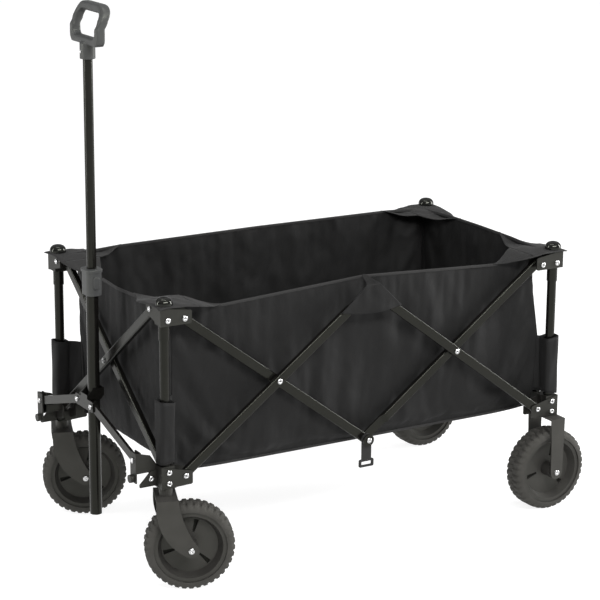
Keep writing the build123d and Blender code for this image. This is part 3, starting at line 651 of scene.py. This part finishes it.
faces_at = {}
for face in ring.data.polygons:
    for key in face.edge_keys:
        faces_at[key] = faces_at.get(key, 0) + 1
open_points = {point for key, count in faces_at.items() if count == 1 for point in key}
pins = ring.vertex_groups.new(name="sewn")
sewn = [vertex.index for vertex in ring.data.vertices if held(vertex.co) or vertex.index in open_points]
pins.add(sewn, 1.0, "REPLACE")
print(len(sewn), "points are sewn down")

# %% [markdown]
# The ring is let go for less than a second. The cloth starts a little larger than its grid, so it buckles
# softly under its own weight. No point may move further than the cap, which keeps the walls near the solids
# that they stand for and clear of the bars.

# %% Let the cloth slump
slump_frames = 22
slump_cap = 13 * mm
rest = np.array([vertex.co for vertex in ring.data.vertices])
keep_only_selected(ring)
bpy.ops.object.modifier_add(type="CLOTH")
slump = ring.modifiers[-1]
slump.settings.quality = 6
slump.settings.mass = 0.2
slump.settings.tension_stiffness = 25
slump.settings.compression_stiffness = 25
slump.settings.shear_stiffness = 10
slump.settings.bending_stiffness = 1.2
slump.settings.shrink_min = -0.012
slump.settings.air_damping = 4
slump.settings.vertex_group_mass = "sewn"
slump.collision_settings.use_collision = False
slump.point_cache.frame_end = slump_frames
for moment in range(1, slump_frames + 1):
    scene.frame_set(moment)
bpy.ops.object.modifier_apply(modifier=slump.name)
moved = np.array([vertex.co for vertex in ring.data.vertices]) - rest
far = np.linalg.norm(moved, axis=1)
moved *= np.minimum(1, slump_cap / np.maximum(far, 1e-9))[:, None]
for vertex, start, step in zip(ring.data.vertices, rest, moved):
    vertex.co = Vector(start + step)
print("slumped by up to", round(float(far.max()) / mm, 1), "mm, kept within", round(slump_cap / mm), "mm")

# %% [markdown]
# The ring is cut again where it was merged. The face numbers from before say which faces belong to a wall,
# so each wall is selected by its number and separated, and the left wall is what remains.


# %% Cut the ring at its seams
def select_faces(piece, chosen):
    """Goes into edit mode with only the faces selected that chosen(face) says."""
    keep_only_selected(piece)
    bpy.ops.object.mode_set(mode="EDIT")
    bpy.ops.mesh.select_mode(type="FACE")
    bpy.ops.mesh.select_all(action="DESELECT")
    bpy.ops.object.mode_set(mode="OBJECT")
    for face in piece.data.polygons:
        face.select = chosen(face)
    bpy.ops.object.mode_set(mode="EDIT")


def on_panel(number):
    """A test for the faces of one wall."""
    return lambda face: ring.data.attributes["panel"].data[face.index].value == number


for number, side in enumerate(wall_run):
    if number == 0:
        continue
    select_faces(ring, on_panel(number))
    bpy.ops.mesh.separate(type="SELECTED")
    bpy.ops.object.mode_set(mode="OBJECT")
    walls[side] = next(piece for piece in bpy.context.selected_objects if piece is not ring)
    walls[side].name = f"tub_{side}"
print({side: len(wall.data.polygons) for side, wall in walls.items()})

# %% [markdown]
# Each wall gets its thickness, one level of subdivision and its own place in the folding frame: it rides on
# one corner. A folding wagon's cloth gathers between the posts as the frame folds, and the share of a wall's
# run that is left between the folded posts is worked out here.


# %% Thickness of a sheet and its place in the folding frame
def thicken(piece, thickness, levels=0):
    """Gives a sheet its thickness to both sides and rounds it by subdivision."""
    keep_only_selected(piece)
    bpy.ops.object.modifier_add(type="SOLIDIFY")
    piece.modifiers[-1].thickness = thickness
    piece.modifiers[-1].offset = 0
    bpy.ops.object.modifier_apply(modifier=piece.modifiers[-1].name)
    if levels:
        bpy.ops.object.modifier_add(type="SUBSURF")
        piece.modifiers[-1].levels = levels
        piece.modifiers[-1].render_levels = levels
        bpy.ops.object.modifier_apply(modifier=piece.modifiers[-1].name)
    bpy.ops.object.shade_smooth()


def kept_share(side):
    """The share of a wall's run that is left when the frame is folded."""
    run = wall_run[side]
    return (run - (2 if side in long_sides else 1) * fold_shift) / run


def gather(piece, side):
    """Rides on one corner of the folding frame."""
    if side in long_sides:
        body, axis = f"upper_front_{side}", (1, 0, 0)
    else:
        body, axis = f"upper_{side}_left", (0, 1, 0)
    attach(piece, body)
    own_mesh(piece)


print("folded, a side keeps", round(kept_share("left"), 2), "of its run")
print("folded, an end keeps", round(kept_share("front"), 2), "of its run")

# %% The four walls
cloth_thickness = 1.2 * mm
for side, wall in walls.items():
    thicken(wall, cloth_thickness, levels=1)
    dress(wall, finish["tub_fabric"])
    gather(wall, side)
    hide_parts(f"tub_wall_{side}")
    size = (wall_run[side], wall_height)
    # The cut narrows towards the hem, so it is a little less than its rectangle.
    print(wall.name, len(wall.data.polygons), "faces")

# %% [markdown]
# The floor is two stiffened panels, sewn together along the middle, that fold up like a book as the frame
# closes. They reach under the bulging hems, so that no light shows beside them.

# %% Floor panels
panel_thickness = 2 * mm
panel_wave = 0.4
floor_margin = hem_bulges["left"] + 2 * mm


def floor_rule(low, high):
    """A flat panel between two corners, with a faint unevenness inside its edges."""

    def rule(across, up):
        x = low.x + across * (high.x - low.x)
        y = low.y + up * (high.y - low.y)
        inside = math.sin(math.pi * across) * math.sin(math.pi * up)
        wave = math.sin(x * 41) * math.sin(y * 37 + 1) * panel_wave * inside
        return Vector((x, y, (low.z + high.z) / 2 + wave * mm))

    return rule


for end in ("front", "rear"):
    low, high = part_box(f"tub_floor_{end}")
    low.y -= floor_margin
    high.y += floor_margin
    if end == "rear":
        low.x -= floor_margin
    size = (high.x - low.x, high.y - low.y)
    panel = grid_sheet(f"tub_floor_panel_{end}", 40, 36, floor_rule(low, high), size)
    thicken(panel, panel_thickness)
    dress(panel, finish["tub_fabric"])
    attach(panel, f"floor_{end}")
    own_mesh(panel)
    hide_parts(f"tub_floor_{end}")
    print(panel.name, [round(length, 3) for length in size], "m")

# %% [markdown]
# Over each top bracket lies a pointed flap of the tub's cloth, held down by the knob. Its two tails run along
# the rims and taper into them. Each flap is made in three pieces that meet along straight lines beside the
# bracket: the part on the bracket, which stays flat, and the two tails. All three ride on the top bracket.

# %% Outline of a corner flap
flap_half = bracket_face + 3.5 * mm
flap_inside = 64 * mm
flap_width = flap_half + flap_inside
flap_lift = 1.6 * mm
flap_hang = 2.2 * mm
tail_ends = {"side": 134 * mm, "end": 165 * mm}
tail_drop = 18 * mm
level_reach, sloping_reach = 14 * mm, 110 * mm  # from the post, and from there on


def smooth_step(value, low, high):
    """0 below low, 1 above high, and a smooth rise between."""
    share = min(1, max(0, (value - low) / (high - low)))
    return share * share * (3 - 2 * share)


def flap_height(from_post):
    """Height of a flap above the floor, at a distance from the post along a rim."""
    share = max(0, from_post - level_reach) / sloping_reach
    return cap_top + flap_lift - tail_drop * share**1.8


def flap_outer_edge(from_post, tail_end):
    """How far outside the post's axis a tail reaches, narrowing to the rim at its point."""
    return flap_half - (flap_half + rim_inset + 1 * mm) * smooth_step(from_post, flap_inside, tail_end)


def flap_inner_edge(from_post, tail_end):
    """Where a tail's straight inner edge runs."""
    share = (from_post - flap_inside) / (tail_end - flap_inside)
    return -flap_inside + (flap_inside - rim_inset - 2 * mm) * share


def flap_point(corner, along_x, along_y, z):
    """A point given outward from the post, along both walls."""
    side_x, side_y = corners[corner]
    return Vector((post[corner].x + side_x * along_x, post[corner].y + side_y * along_y, z))


print("a flap is", round(flap_width / mm), "mm wide on its bracket")


# %% Corner flaps
def flap_centre(corner):
    """The square on the bracket, its outer corner drawn out to a point."""

    def rule(across, up):
        out_x = -flap_inside + across * flap_width
        out_y = -flap_inside + up * flap_width
        from_post = max(0, -min(out_x, out_y))
        drawn = 2.5 * mm * smooth_step(min(out_x, out_y), 4 * mm, flap_half)
        hang = flap_hang * smooth_step(max(out_x, out_y), flap_half - 5 * mm, flap_half)
        wave = 0.5 * mm * math.sin(out_x * 180 + out_y * 90)
        return flap_point(corner, out_x + drawn, out_y + drawn, flap_height(from_post) - hang + wave)

    return rule


def flap_tail(corner, along_side):
    """A tail that narrows along a side or an end wall and sinks to its rim."""
    tail_end = tail_ends["side" if along_side else "end"]
    _, low_drop, low_place = rim_drops[corner.split("_")[1 if along_side else 0]]

    def rule(across, up):
        from_post = flap_inside + across * (tail_end - flap_inside)
        outer, inner = flap_outer_edge(from_post, tail_end), flap_inner_edge(from_post, tail_end)
        sideways = inner + up * (outer - inner)
        fade = 1 - across
        hang = flap_hang * smooth_step(up, 0.88, 1.0) * fade
        wave = 0.9 * mm * math.sin(across * 11 + up * 2) * across * fade * 2
        rim_here = cap_top - float(np.interp(from_post, [12 * mm, low_place], [0, low_drop]))
        flat = flap_height(from_post)
        at_rim = smooth_step(from_post, flap_inside, tail_end)
        z = flat + (rim_here + 1.2 * mm - flat) * at_rim - hang + wave
        if along_side:
            return flap_point(corner, -from_post, sideways, z)
        return flap_point(corner, sideways, -from_post, z)

    return rule


for corner, (side_x, side_y) in corners.items():
    side_size = (tail_ends["side"] - flap_inside, flap_width)
    end_size = (tail_ends["end"] - flap_inside, flap_width)
    plan = {
        "centre": (flap_centre(corner), 18, 18, (flap_width, flap_width), 1.0),
        "side_tail": (flap_tail(corner, True), 24, 14, side_size, 0.5),
        "end_tail": (flap_tail(corner, False), 32, 14, end_size, 0.5),
    }
    for part, (rule, across, up, size, cut_share) in plan.items():
        flap = grid_sheet(f"flap_{corner}_{part}", across, up, rule, size)
        thicken(flap, 1.4 * mm)
        # The flap's lighter cloth is a painted highlight on the tub's own cloth.
        dress(flap, finish["flap_fabric"])
        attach(flap, f"upper_{corner}")
        if part == "side_tail":
            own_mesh(flap)
        if part == "end_tail":
            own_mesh(flap)
print("flaps in three pieces on", list(corners))

# %% [markdown]
# A sleeve of the same cloth wraps each lower post and ties the tub's corner to it. It is a loose square tube
# with soft corners, a little wider at its top, joined to the bag by a short web.

# %% Post sleeves
sleeve_size = (4 * 33 * mm, sleeve_height)
web_size = (30 * mm, sleeve_height)
web_start = 11 * mm
squareness = 5
sleeve_half, sleeve_flare = 14, 1.8  # half its width below, and what the top adds, in mm


def sleeve_rule(corner):
    """A loose tube round a post, its section between a circle and a square."""

    def rule(across, up):
        turn = across * 2 * math.pi
        along, beside = math.cos(turn), math.sin(turn)
        half = (sleeve_half + sleeve_flare * up) * mm
        square = (abs(along) ** squareness + abs(beside) ** squareness) ** (-1 / squareness)
        loose = 0.7 * mm * math.sin(3 * turn + 5 * up) * math.sin(math.pi * up)
        radius = half * min(square, 1.26) + loose
        lean = 2 * mm * (up - 0.5)
        slant = 2.5 * mm * along * (2 * up - 1)
        z = sleeve_low + up * (sleeve_high - sleeve_low) + slant
        return flap_point(corner, radius * along - lean, radius * beside - lean, z)

    return rule


def web_rule(corner):
    """The web from a sleeve to the corner of the bag."""

    def rule(across, up):
        z = sleeve_low + up * (sleeve_high - sleeve_low)
        inward = web_start + across * (corner_inset(corner, z) - web_start + 3 * mm)
        sway = 2 * mm * math.sin(math.pi * across) * math.sin(4 * up + 1)
        return flap_point(corner, -inward + sway, -inward - sway, z)

    return rule


for corner in corners:
    tube = grid_sheet(f"sleeve_{corner}", 48, 16, sleeve_rule(corner), sleeve_size)
    weld(tube, 0.2 * mm)
    web = grid_sheet(f"sleeve_web_{corner}", 6, 16, web_rule(corner), web_size)
    for piece in (tube, web):
        thicken(piece, 1.6 * mm)
        dress(piece, finish["tub_fabric"])
        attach(piece, f"upper_{corner}")
print("sleeves from", round(sleeve_low, 3), "to", round(sleeve_high, 3), "m")

# %% [markdown]
# In the middle of each long side the rim is hooked over the upper pivot of the crossing bars by a triangular
# pocket. Its point is sewn to the rim, and its skirt hangs over the bars in a shallow arc.

# %% Middle pockets
pocket_half = 70 * mm
pocket_drop = 68 * mm
pocket_point = 2 * mm
pocket_size = (2 * pocket_half, 75 * mm)


def pocket_rule(side):
    """A triangle that widens downwards and comes out over the bars."""
    rim_y = half_width - rim_inset + 1 * mm
    face_y = half_width + 19 * mm

    def rule(across, up):
        s = 2 * across - 1
        share = (1 - up) ** 1.3
        inside = 1 - s * s
        wide = pocket_point + (pocket_half - pocket_point) * share
        fold = (1.2 * math.sin(3 * s + 9 * share) + 0.5 * math.sin(6 * s - 8 * share)) * mm * share * inside
        over_bars = smooth_step(share, 0, 0.22)
        y = rim_y + (face_y - rim_y) * over_bars + fold - 4.5 * mm * share**3
        arc = 9 * mm * share**3 * inside
        z = cap_top + 1 * mm - (pocket_drop - 4 * mm) * share - arc
        return Vector((centre.x + s * wide, centre.y + outward[side] * y, z))

    return rule


for side in long_sides:
    pocket = grid_sheet(f"pocket_{side}", 40, 30, pocket_rule(side), pocket_size)
    thicken(pocket, 1.4 * mm)
    dress(pocket, finish["tub_fabric"])
    gather(pocket, side)
print("pockets hang", round(pocket_drop / mm), "mm")

# %% [markdown]
# The rim of every wall is bound with a folded tape, and so is the hem of the three walls that hang free of
# the handle. The tape's round fold catches the light as a thin line, and its colour is painted lighter than
# the tub's cloth as well, a painted highlight. A tape is a narrow sheet that goes down the outside, over the
# edge and down the inside.

# %% Rim binding and hem tapes
tape_width = 13 * mm
tape_thickness = 0.5 * mm
tape_radius = 1.5 * mm
tape_drop = 4 * mm
tape_leg = 0.35  # share of the tape's width on each side of its round fold
rims = [("left", 1), ("right", 1), ("front", 1), ("rear", 1)]
hems = [("left", 0), ("right", 0), ("rear", 0)]


def binding_rule(side, edge):
    """Wraps the rim, edge 1, or the hem, edge 0, with the tape's fold outward."""
    out = Vector((0, outward[side], 0)) if side in long_sides else Vector((outward[side], 0, 0))
    way = 1 if edge else -1

    def rule(across, up):
        at_edge = wall_point(side, 2 * across - 1, edge)
        turn = math.pi * min(1, max(0, (up - tape_leg) / (1 - 2 * tape_leg)))
        down = max(0, tape_leg - up, up - (1 - tape_leg)) / tape_leg * tape_drop
        rise = tape_radius * math.sin(turn) - down
        return at_edge + out * (tape_radius * math.cos(turn)) + Vector((0, 0, way * rise))

    return rule


for side, edge in rims + hems:
    name = f"binding_{side}" if edge else f"hem_{side}"
    size = (wall_run[side], tape_width)
    tape = grid_sheet(name, round(wall_run[side] / (2 * cell)), 14, binding_rule(side, edge), size)
    thicken(tape, tape_thickness)
    # A painted highlight: the tape is coloured lighter than the tub's cloth.
    dress(tape, finish["binding"])
    gather(tape, side)
print("taped", len(rims), "rims and", len(hems), "hems")

# %% [markdown]
# Where two walls meet, a narrow tape is sewn over the seam on the inside. It is bent to a right angle, with
# one half on each wall, and it closes the hair's breadth that two separate walls leave between them.

# %% Tape inside the corner seams
seam_half = 8 * mm
seam_gap = 1.1 * mm


def seam_rule(corner):
    """A strip bent to a right angle, along the corner of two walls."""
    side_x, side_y = corners[corner]
    side = corner.split("_")[1]

    def rule(across, up):
        s = 2 * across - 1
        along_x = seam_half * max(0, -s) + seam_gap
        along_y = seam_half * max(0, s) + seam_gap
        return wall_point(side, side_x, up) + Vector((-side_x * along_x, -side_y * along_y, 0))

    return rule


for corner in corners:
    size = (2 * seam_half, wall_height)
    tape = grid_sheet(f"seam_tape_{corner}", 8, wall_rows, seam_rule(corner), size)
    thicken(tape, tape_thickness)
    dress(tape, finish["tub_fabric"])
    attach(tape, f"upper_{corner}")
print("seam tapes:", list(corners))

# %% [markdown]
# The joints of the frame are bright tubular rivets: a low dome whose rolled edge leaves a dimple in the
# middle. One is modelled from a cylinder by insetting and moving its top face, and copies go over every
# rivet head.

# %% One rivet head
rivet_steps = ((0.7, 0.55), (0.8, 0.35), (0.9, 0.1), (0.8, -0.7), (0.7, -0.5))  # inset and rise, in mm
bpy.ops.object.select_all(action="DESELECT")
bpy.ops.mesh.primitive_cylinder_add(vertices=24, radius=5.4 * mm, depth=2.4 * mm, location=(0, 0, 1.2 * mm))
rivet = bpy.context.object
rivet.name = "rivet"
bpy.ops.object.transform_apply(location=True, rotation=True, scale=True)
select_faces(rivet, lambda face: face.normal.z > 0.9)
for inset, rise in rivet_steps:
    bpy.ops.mesh.inset(thickness=inset * mm)
    bpy.ops.transform.translate(value=(0, 0, rise * mm))
bpy.ops.object.mode_set(mode="OBJECT")
bpy.ops.object.shade_smooth_by_angle(angle=math.radians(50))
rivet_mesh = rivet.data
bpy.data.objects.remove(rivet)
print("rivet:", len(rivet_mesh.polygons), "faces")

# %% [markdown]
# A rivet's place is a matrix: a move to the joint, a turn to the way that its head faces, and a scale. The
# places are collected for each body of the frame first, because all the rivets that move together become one
# piece. Those of the corners come first: the bars' pivots, the sockets of the posts, the links' brackets and
# the wheels' axles.

# %% Rivets of the corners
axle_reach = 41.5 * mm  # from a wheel's middle to its fork's outer face
axle_scale = 1.05
socket_rises = (10 * mm, 32 * mm)
link_plate = 6 * mm
arm_rivet = Vector((27, 7.25, 37.75)) * mm  # ahead of the post, towards the middle and below the link
rivet_places = {}


def add_rivet(body, place, direction, scale=1.0):
    """Notes one rivet of a body, where it is and the way its head faces."""
    facing = Vector(direction).to_track_quat("Z", "Y").to_matrix().to_4x4()
    matrix = Matrix.Translation(place) @ facing @ Matrix.Scale(scale, 4)
    rivet_places.setdefault(body, []).append(matrix)


def wheel_axis(corner):
    """The middle of a wheel and the direction of its axle."""
    wheel = joints[f"wheel_{corner}_roll"]
    return Vector(wheel["pos_m"]), Vector(wheel["axis"]).normalized()


socket_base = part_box("lower_bracket_rear_left")[0].z
link_place = {side: Vector(joints[f"link_{side}"]["pos_m"]) for side in long_sides}
for corner, (side_x, side_y) in corners.items():
    axis = post[corner]
    side_face = axis.y + side_y * bracket_face
    end_face = axis.x + side_x * bracket_face
    pivot_x, pivot_y = axis.x - side_x * side_arm, axis.y - side_y * end_arm
    low_body, high_body = f"lower_{corner}", f"upper_{corner}"
    to_side, to_end = (0, side_y, 0), (side_x, 0, 0)
    add_rivet(high_body, (axis.x, side_face, high_z), to_side)
    add_rivet(high_body, (pivot_x, side_face, high_z), to_side)
    add_rivet(high_body, (end_face, pivot_y, end_high_z), to_end)
    for rise in socket_rises:
        add_rivet(low_body, (axis.x, side_face, socket_base + rise), to_side)
    add_rivet(low_body, (pivot_x, side_face, low_z), to_side)
    add_rivet(low_body, (end_face, pivot_y, end_low_z), to_end)
    fork_body = low_body
    if corner.startswith("front"):
        fork_body = f"castor_{corner}"
        link = link_place[corner.split("_")[1]]
        add_rivet(low_body, (link.x + link_plate, link.y, link.z), (1, 0, 0))
        arm = (axis.x + arm_rivet.x, axis.y - side_y * arm_rivet.y, link.z - arm_rivet.z)
        add_rivet(low_body, arm, to_side)
    hub, spin = wheel_axis(corner)
    for way in (1, -1):
        add_rivet(fork_body, hub + spin * way * axle_reach, spin * way, axle_scale)
print(sum(len(matrices) for matrices in rivet_places.values()), "rivets at the corners")

# %% Rivets of the crossings, the yoke and the grip
bar_face = 12.5 * mm
disc_face = 11.5 * mm
yoke_half = 31 * mm
for side in long_sides:
    sign = outward[side]
    outside = centre.y + sign * (half_width + bar_face)
    for end in ("front", "rear"):
        place = (centre.x + outward[end] * half_span / 2, outside, (low_z + high_z) / 2)
        add_rivet(f"side_{side}_{end}_rising", place, (0, sign, 0))
    disc = (centre.x, centre.y + sign * (half_width + disc_face), low_z)
    add_rivet(f"side_{side}_front_falling", disc, (0, sign, 0))
for end in ("front", "rear"):
    way = outward[end]
    place = (centre.x + way * (half_length + bar_face), centre.y, (end_low_z + end_high_z) / 2)
    add_rivet(f"end_{end}_outer", place, (way, 0, 0))
yoke_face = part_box("handle_yoke")[1].x - cad_rivet_head
yoke_z = joints["yoke_left"]["pos_m"][2]
for side in long_sides:
    add_rivet("yoke", (yoke_face, centre.y + outward[side] * yoke_half, yoke_z), (1, 0, 0))
handle_axis = Vector(joints["handle_tilt"]["pos_m"])
grip_low, grip_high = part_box("handle_grip")
socket_face, screw_rise, screw_scale = 14.6 * mm, 14 * mm, 0.62
grip_screw = (handle_axis.x + socket_face, handle_axis.y, grip_low.z + screw_rise)
add_rivet("handle_slider", grip_screw, (1, 0, 0), screw_scale)


# %% One piece of rivets for each body
def placed_copy(mesh, matrix, name):
    """A copy with its own mesh, its place in the mesh."""
    copy = bpy.data.objects.new(name, mesh.copy())
    scene.collection.objects.link(copy)
    copy.data.transform(matrix)
    return copy


for body, matrices in rivet_places.items():
    heads = [placed_copy(rivet_mesh, matrix, f"rivet_{body}") for matrix in matrices]
    piece = joined(heads, f"rivets_{body}")
    dress(piece, finish["rivet_steel"])
    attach(piece, body)
print(sum(len(matrices) for matrices in rivet_places.values()), "rivets in", len(rivet_places), "pieces")

# %% [markdown]
# The tyres are solid foam rubber with a knobbly tread: two staggered rows of lugs, a zigzag groove between
# them, and scallops down the shoulders. The surface of revolution is laid out as a grid round the wheel,
# eight columns to a lug, and each point is lowered by the tread's pattern where a groove runs. Its seam is
# welded, and its two open edges on the rim are bridged.

# %% One tyre
tyre_low, tyre_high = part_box("tyre_rear_left")
wheel_r = (tyre_high.z - tyre_low.z) / 2
half_tyre = (tyre_high.y - tyre_low.y) / 2
bead_r = wheel_r - 16.5 * mm
lugs = 38
columns_a_lug = 8
groove = 2.7 * mm
zigzag = 2.4  # how far the middle groove swings to each side, in mm
lug_slant = 0.006  # how far the lugs turn with each mm from the middle, as a share of their pitch
lug_edge, groove_edge = (0.27, 0.36), (1.2, 2.6)
shoulder_rise = 8  # above this, in mm, the tread is cut
# Half of the tyre's section from the bead to the middle, in mm: across the wheel, and above the bead.
section = [(25, 0.2), (25, 3.5), (24.6, 6.2), (23.2, 9.2), (21.2, 12.2), (19, 14.4), (17, 15.6)]
section += [(15.4, 16.1), (13, 16.3), (10, 16.4), (7, 16.43), (4.5, 16.455), (2, 16.48), (0, 16.5)]
section += [(-across, rise) for across, rise in reversed(section[:-1])]


def tread_depth(turn, across):
    """How deep the tread is cut at a place, 0 on a lug and 1 in a groove."""
    row = 0.0 if across > 0 else 0.5
    phase = (turn * lugs / (2 * math.pi) + row + lug_slant * abs(across)) % 1.0
    between = smooth_step(abs(phase - 0.5), *lug_edge)
    from_zigzag = abs(across - zigzag * math.sin(turn * lugs))
    middle_groove = 1 - smooth_step(from_zigzag, *groove_edge)
    return max(between if abs(across) > 1.5 else 0, middle_groove)


def tyre_rule(share_round, share_across):
    """A point of the tyre, lowered by the tread where it lies above the shoulder."""
    turn = 2 * math.pi * share_round - math.pi / 2
    across, rise = section[int(share_across * (len(section) - 1))]
    worn = min(1, max(0, rise - shoulder_rise) / 6)
    r = bead_r + rise * mm - groove * tread_depth(turn, across) * worn
    return Vector((r * math.cos(turn), across / 25 * half_tyre, r * math.sin(turn)))


tyre_model = grid_sheet("tyre_model", lugs * columns_a_lug, len(section) - 1, tyre_rule, (0.55, 0.08))
weld(tyre_model, 0.05 * mm, face_outward=False)
bpy.ops.object.mode_set(mode="EDIT")
bpy.ops.mesh.select_mode(type="EDGE")
bpy.ops.mesh.select_all(action="DESELECT")
bpy.ops.mesh.select_non_manifold()
bpy.ops.mesh.bridge_edge_loops()
bpy.ops.mesh.select_all(action="SELECT")
bpy.ops.mesh.normals_make_consistent(inside=False)
bpy.ops.object.mode_set(mode="OBJECT")
bpy.ops.object.shade_smooth_by_angle(angle=math.radians(38))
tyre_mesh = tyre_model.data
bpy.data.objects.remove(tyre_model)
print("tyre:", len(tyre_mesh.polygons), "faces, radius", round(wheel_r / mm, 1), "mm")


# %% Four tyres
def wheel_place(corner):
    """Moves a wheel from the origin, its axle along Y, to where it stands."""
    hub, spin = wheel_axis(corner)
    return Matrix.Translation(hub) @ Matrix.Rotation(math.atan2(-spin.x, spin.y), 4, "Z")


for corner in corners:
    tyre = placed_copy(tyre_mesh, wheel_place(corner), f"tyre_knobbly_{corner}")
    dress(tyre, finish["tyre_rubber"])
    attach(tyre, f"wheel_{corner}")
    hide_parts(f"tyre_{corner}")
print("tyres on", list(corners))

# %% [markdown]
# The slots in the rim's web are deep pockets between ribs, so nothing of their floors is seen but shade. That
# shade is painted: a near-black plate lies on each slot's floor. One plate is modelled as a thin wedge from a
# cube with one end widened, and six copies go round each wheel, three on each side.

# %% Painted shade on the floors of the rim's slots
slot_near, slot_far = 27.3 * mm, 52.6 * mm
slot_narrow, slot_wide = 3.8 * mm, 9.2 * mm
plate_thickness, plate_out = 0.6 * mm, 1.9 * mm  # out from the middle of the web
first_slot, next_slot = math.radians(105), math.radians(120)
bpy.ops.object.select_all(action="DESELECT")
bpy.ops.mesh.primitive_cube_add(size=1)
plate = bpy.context.object
bpy.ops.object.mode_set(mode="EDIT")
bpy.ops.mesh.select_all(action="SELECT")
bpy.ops.transform.resize(value=(slot_far - slot_near, plate_thickness, slot_narrow))
bpy.ops.transform.translate(value=((slot_far + slot_near) / 2, plate_out, 0))
bpy.ops.object.mode_set(mode="OBJECT")
select_faces(plate, lambda face: face.normal.x > 0.9)
bpy.ops.transform.resize(value=(1, 1, slot_wide / slot_narrow))
bpy.ops.object.mode_set(mode="OBJECT")
plate_mesh = plate.data
bpy.data.objects.remove(plate)

for corner in corners:
    plates = []
    for number in range(3):
        turn = Matrix.Rotation(-first_slot - number * next_slot, 4, "Y")
        for flip in (0, math.pi):
            place = wheel_place(corner) @ turn @ Matrix.Rotation(flip, 4, "X")
            plates.append(placed_copy(plate_mesh, place, f"slot_shade_plate_{corner}"))
    piece = joined(plates, f"rim_slot_painted_shade_{corner}")
    # Painted shade: the near-black plates stand for the shade in the slots.
    dress(piece, finish["deep_shade"])
    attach(piece, f"wheel_{corner}")
print("painted slot shade plates:", len(plates), "a wheel")

# %% [markdown]
# The grip is moulded in one shot with soft rounded edges. A merged copy of the solid is remeshed finely, and
# a smoothing that acts on its loop alone rounds the edges and leaves the socket on its tube. The loop leans
# back from the socket, and the lean is spread over more of its height, so that the bend is easy.

# %% The grip
voxel = 1.2 * mm
smoothing_rounds = 30
loop_base = grip_low.z + 28 * mm
socket_end = grip_low.z + 30 * mm
lean = 16 * mm
lean_start, built_end, eased_end = 24 * mm, 50 * mm, 76 * mm
grip = bpy.data.objects.new("grip_soft", nodes["handle_grip"].data.copy())
scene.collection.objects.link(grip)
grip.data.materials.clear()
weld(grip, 0.01 * mm, face_outward=False)
bpy.ops.object.modifier_add(type="REMESH")
grip.modifiers[-1].mode = "VOXEL"
grip.modifiers[-1].voxel_size = voxel
bpy.ops.object.modifier_apply(modifier=grip.modifiers[-1].name)
loop_points = grip.vertex_groups.new(name="loop")
loop_points.add([v.index for v in grip.data.vertices if v.co.z > socket_end], 1.0, "REPLACE")
bpy.ops.object.modifier_add(type="CORRECTIVE_SMOOTH")
grip.modifiers[-1].iterations = smoothing_rounds
grip.modifiers[-1].use_only_smooth = True
grip.modifiers[-1].vertex_group = "loop"
bpy.ops.object.modifier_apply(modifier=grip.modifiers[-1].name)
for vertex in grip.data.vertices:
    height = vertex.co.z - loop_base
    built = smooth_step(height, lean_start, built_end)
    eased = smooth_step(height, lean_start, eased_end)
    vertex.co.x += lean * (built - eased)
bpy.ops.object.shade_smooth_by_angle(angle=math.radians(40))
dress(grip, finish["grip_plastic"])
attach(grip, "handle_slider")
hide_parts("handle_grip")
print("grip:", len(grip.data.polygons), "faces")

# %% [markdown]
# The underside of the grip's top bar has a row of ridges for the fingers. One is a short round bar that lies
# across the grip, half sunk in it, and nine copies stand side by side.

# %% Finger ridges
ridge_count = 9
ridge_pitch = 7 * mm
ridge_below = 15.2 * mm
bpy.ops.object.select_all(action="DESELECT")
bpy.ops.mesh.primitive_cylinder_add(vertices=16, radius=2.2 * mm, depth=13 * mm, rotation=(0, math.pi / 2, 0))
bpy.ops.object.transform_apply(location=True, rotation=True, scale=True)
bpy.ops.object.shade_smooth_by_angle(angle=math.radians(40))
ridge_mesh = bpy.context.object.data
bpy.data.objects.remove(bpy.context.object)
ridges = []
for number in range(ridge_count):
    across = (number - ridge_count // 2) * ridge_pitch
    place = Vector((handle_axis.x - lean, handle_axis.y + across, grip_high.z - ridge_below))
    ridges.append(placed_copy(ridge_mesh, Matrix.Translation(place), f"ridge_{number}"))
ridge_row = joined(ridges, "grip_ridges")
dress(ridge_row, finish["grip_plastic"])
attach(ridge_row, "handle_slider")
print("ridges:", len(ridges))
